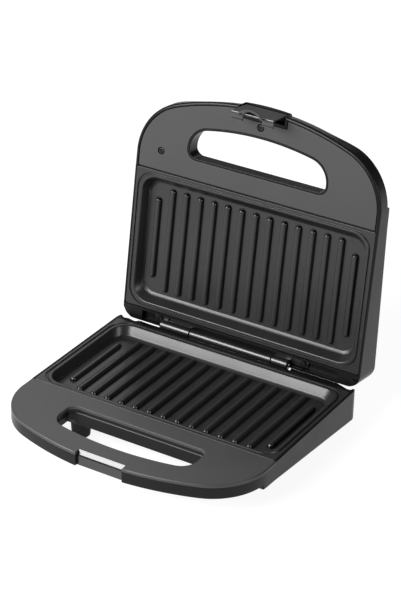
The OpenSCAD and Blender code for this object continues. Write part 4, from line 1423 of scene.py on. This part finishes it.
@dataclass
class Fittings:
    """Rubber feet, the cable inlet's bush and the two lamp lenses."""

    body: Casing
    front_xy: Point = (63.4, -133.0)
    rear_xy: Point = (88.0, -20.0)
    inlet: tuple[float, float, float] = (80.0, 12.5, -13.4)
    lens_x: float = 11.0
    lens_y: float = -134.0
    lens_r: float = 3.98
    lens_low: float = -12.1
    lens_out: float = -17.2

    def build_feet(self, finish: Finish) -> None:
        """Builds the front and the rear pair of feet, which reach into the casing's floor.

        Args:
            finish: Their material.
        """
        low = -PARTING_H
        for side, (x, y), r_top, r in (("front", self.front_xy, 8.6, 7.8), ("rear", self.rear_xy, 8.0, 8.0)):
            high = 1.0 - self.body.depth(y)
            foot = [(0.0, low + 0.25), (r * 0.55, low + 0.25), (r * 0.62, low), (r - 0.8, low),
                    (r - 0.2, low + 0.25), (r, low + 0.8), (r_top - 0.05, high - 3.0), (r_top, high),
                    (0.0, high)]
            shell = Shell()
            for s in (-1, 1):
                shell.lathe(foot, Matrix.Translation((s * x, y, 0)), 44)
            shell.build(f"{side}_foot_pads", Half.BASE, finish, "foot_rubber", [f"{side}_feet"])

    def build_inlet(self, finish: Finish) -> None:
        """Builds the bush in the rear wall that the cable would come out of.

        Args:
            finish: Its material.
        """
        bush = [(3.5, -3.9), (5.7, -3.9), (5.7, -2.25), (4.6, -2.2), (4.6, 0.02), (5.8, 0.02), (5.8, 1.1),
                (5.45, 1.6), (4.9, 1.78), (3.9, 1.78), (3.55, 1.5), (3.5, 1.2)]
        shell = Shell()
        shell.lathe(bush, Matrix.Translation(self.inlet) @ Matrix.Rotation(-math.pi / 2, 4, "X"), 44)
        shell.build("cable_inlet_bush", Half.BASE, finish, "black_plastic", ["cable_gland"])

    def build_lens(self, label: str, side: float, finish: Finish, slot: str) -> None:
        """Builds one domed lens in the lid's outer face.

        Args:
            label: What the lamp shows.
            side: -1 for the left lens, 1 for the right one.
            finish: Its material.
            slot: The record's material slot.
        """
        low, out = self.lens_low, self.lens_out
        dome = [(3.0, low), (self.lens_r, low), (self.lens_r, out - 0.75), (3.7, out - 1.1), (2.9, out - 1.4),
                (1.6, out - 1.55), (0.0, out - 1.6), (0.0, out + 0.3), (3.0, out + 0.3)]
        shell = Shell()
        shell.lathe(dome, Matrix.Translation((side * self.lens_x, self.lens_y, 0)), 40)
        shell.build(f"{label}_lamp_lens", Half.LID, finish, slot, [f"{label}_lens"])


# ---- studio ----


@dataclass
class SoftBox:
    """One soft box: its name, the way to it from the toaster, distance, size and power."""

    name: str
    way: tuple[float, float, float]
    distance_m: float
    size_m: tuple[float, float]
    watts: float
    aim_h_m: float = 0.1

    def build(self) -> None:
        """Adds the lamp, facing the toaster."""
        data = bpy.data.lights.new(self.name, "AREA")
        data.shape, data.energy = "RECTANGLE", self.watts
        data.size, data.size_y = self.size_m
        lamp = bpy.data.objects.new(self.name, data)
        away = Vector(self.way).normalized()
        lamp.matrix_world = (Matrix.Translation(Vector((0, 0, self.aim_h_m)) + away * self.distance_m)
                             @ away.to_track_quat("Z", "Y").to_matrix().to_4x4())
        bpy.context.scene.collection.objects.link(lamp)


@dataclass
class Studio:
    """White table, dim white surroundings, soft boxes and the camera of the photograph."""

    azimuth: float = 30.967
    elevation: float = 28.348
    roll: float = 1.364
    shift: tuple[float, float] = (-25.985, 44.954)
    distance: float = 1903.986
    lens: float = 134.33
    sensor: float = 36.0
    sky: float = 0.07
    glow: float = 0.9
    table_m: float = 3.0
    boxes: tuple[SoftBox, ...] = (
        SoftBox("front_left_box", (-0.46, -0.75, 0.52), 1.5, (1.4, 0.75), 47.0),
        SoftBox("right_box", (0.95, -0.1, 0.35), 1.6, (0.7, 0.7), 8.0),
        SoftBox("rear_left_box", (-0.42, 0.66, 0.62), 1.6, (1.3, 0.8), 5.0),
    )

    def camera(self) -> None:
        """Sets the camera where the photograph was taken from."""
        a, e, r = (math.radians(v) for v in (self.azimuth, self.elevation, self.roll))
        back = Vector((math.sin(a) * math.cos(e), -math.cos(a) * math.cos(e), math.sin(e)))
        right = (-back).cross(Vector((0, 0, 1))).normalized()
        up = right.cross(-back)
        right, up = (math.cos(r) * right + math.sin(r) * up, -math.sin(r) * right + math.cos(r) * up)
        place = back * self.distance + right * self.shift[0] + up * self.shift[1]
        place = place * MM + Half.BASE.matrix().translation
        data = bpy.data.cameras.new("studio_camera")
        data.lens, data.sensor_width = self.lens, self.sensor
        data.clip_start, data.clip_end = 0.05, 50.0
        cam = bpy.data.objects.new("studio_camera", data)
        cam.matrix_world = Matrix([(right[i], up[i], back[i], place[i]) for i in range(3)] + [(0, 0, 0, 1)])
        bpy.context.scene.collection.objects.link(cam)
        bpy.context.scene.camera = cam

    def world(self) -> None:
        """Lights the scene evenly and dimly, and shows white to the camera."""
        world = bpy.data.worlds.new("white_studio")
        bpy.context.scene.world = world
        tree = cleared_tree(world)
        seen = add_node(tree, "LightPath").outputs["Is Camera Ray"]
        strength = add_node(tree, "MapRange", {3: self.sky, 4: 1.0}, {0: seen})
        sky = add_node(tree, "Background", {"Color": (1, 1, 1, 1)}, {"Strength": strength.outputs[0]})
        add_node(tree, "OutputWorld", None, {"Surface": sky.outputs[0]})

    def floor(self) -> None:
        """Lays a table that the camera, reflections and glass see as white and that keeps a shadow."""
        grid = bmesh.new()
        corners = [(x * self.table_m, y * self.table_m) for x, y in ((-1, -1), (1, -1), (1, 1), (-1, 1))]
        grid.faces.new([grid.verts.new((x, y, -0.2 * MM)) for x, y in corners])
        mesh = bpy.data.meshes.new("studio_table")
        grid.to_mesh(mesh)
        grid.free()
        table = bpy.data.objects.new("studio_table", mesh)
        bpy.context.scene.collection.objects.link(table)
        mesh.materials.append(self.laminate())

    def laminate(self) -> bpy.types.Material:
        """Makes the table's material: a grey that takes a shadow, lifted to white for the viewer.

        Returns:
            The material.
        """
        made = bpy.data.materials.new("white_laminate")
        tree = cleared_tree(made)
        path = add_node(tree, "LightPath").outputs
        seen = path["Is Camera Ray"]
        for ray in ("Is Transmission Ray", "Is Glossy Ray"):
            seen = add_node(tree, "Math", {"operation": "MAXIMUM"}, {0: seen, 1: path[ray]}).outputs[0]
        grain = add_node(tree, "TexNoise", {"Scale": 30.0, "Detail": 2.0}).outputs[0]
        shade = add_node(tree, "Mix", {"data_type": "RGBA", 6: (0.20, 0.20, 0.20, 1),
                                       7: (0.23, 0.23, 0.23, 1)}, {0: grain}).outputs[2]
        matt = add_node(tree, "BsdfDiffuse", None, {"Color": shade})
        strength = add_node(tree, "MapRange", {3: 0.0, 4: self.glow}, {0: seen})
        glow = add_node(tree, "Emission", {"Color": (1, 1, 1, 1)}, {"Strength": strength.outputs[0]})
        both = add_node(tree, "AddShader", None, {0: matt.outputs[0], 1: glow.outputs[0]})
        add_node(tree, "OutputMaterial", None, {"Surface": both.outputs[0]})
        return made

    def build(self) -> None:
        """Builds the whole studio."""
        self.camera()
        self.world()
        self.floor()
        for box in self.boxes:
            box.build()
        bpy.context.scene.view_settings.view_transform = "Standard"


def dress_inner_nodes() -> None:
    """Gives the CAD nodes that stay their real finishes, by the first key found in their names."""
    finishes = {
        "heater_clamps": SHEET, "heater": HEATER_SHEATH, "heat_shield": SHEET, "earth_tag": SHEET,
        "terminal_block": NYLON_PALE, "thermostat": PHENOLIC_BROWN, "thermal_fuse": ZINC,
        "lamp_board": BOARD, "power_lamp": LAMP_GLASS, "ready_lamp": LAMP_GLASS, "panel_screws": BLACK_OXIDE,
        "cover_screws": BLACK_OXIDE, "ear_screws": BLACK_OXIDE, "screws": ZINC, "pin": ZINC,
    }
    for name, node in frame["nodes"].items():
        finish = next((made for key, made in finishes.items() if key in name), None)
        if finish:
            node.data.materials.clear()
            node.data.materials.append(finish.material())
            LOG.info("finished %s as %s", name, finish.name)


def main() -> None:
    """Builds the studio and then the toaster, sub-assembly by sub-assembly."""
    Studio().build()
    dress_inner_nodes()
    lower, upper = BaseCasing(), LidCasing()
    lower.build(PHENOLIC_GLOSS)
    upper.build(PHENOLIC_GLOSS)
    cover, panel = GripCover(lower), LidPanel(upper)
    cover.build(PHENOLIC_SATIN)
    cover.build_ramp(POLISHED_RAMP)
    panel.build_screws(BLACK_OXIDE)
    panel.build(PANEL_MATT)
    plates = [GrillPlate(Half.BASE, "base", "lower_grill_plate"),
              GrillPlate(Half.LID, "lid", "upper_grill_plate")]
    for plate in plates:
        plate.build(PTFE_COATING)
    for plate in plates:
        # Darker glossy caps over the rib ends: painted shade.
        plate.build_painted_shade_ends(PTFE_PAINTED_SHADE_GLOSS)
    Hinge().build(NYLON_GLOSS)
    Latch().build(LATCH_SATIN)
    fittings = Fittings(lower)
    fittings.build_feet(RUBBER)
    fittings.build_inlet(PHENOLIC_GLOSS)
    fittings.build_lens("power", -1.0, RED_LENS, "red_lens")
    fittings.build_lens("ready", 1.0, GREEN_LENS, "green_lens")


if __name__ == "__main__":
    logging.basicConfig(level=logging.INFO)
    main()
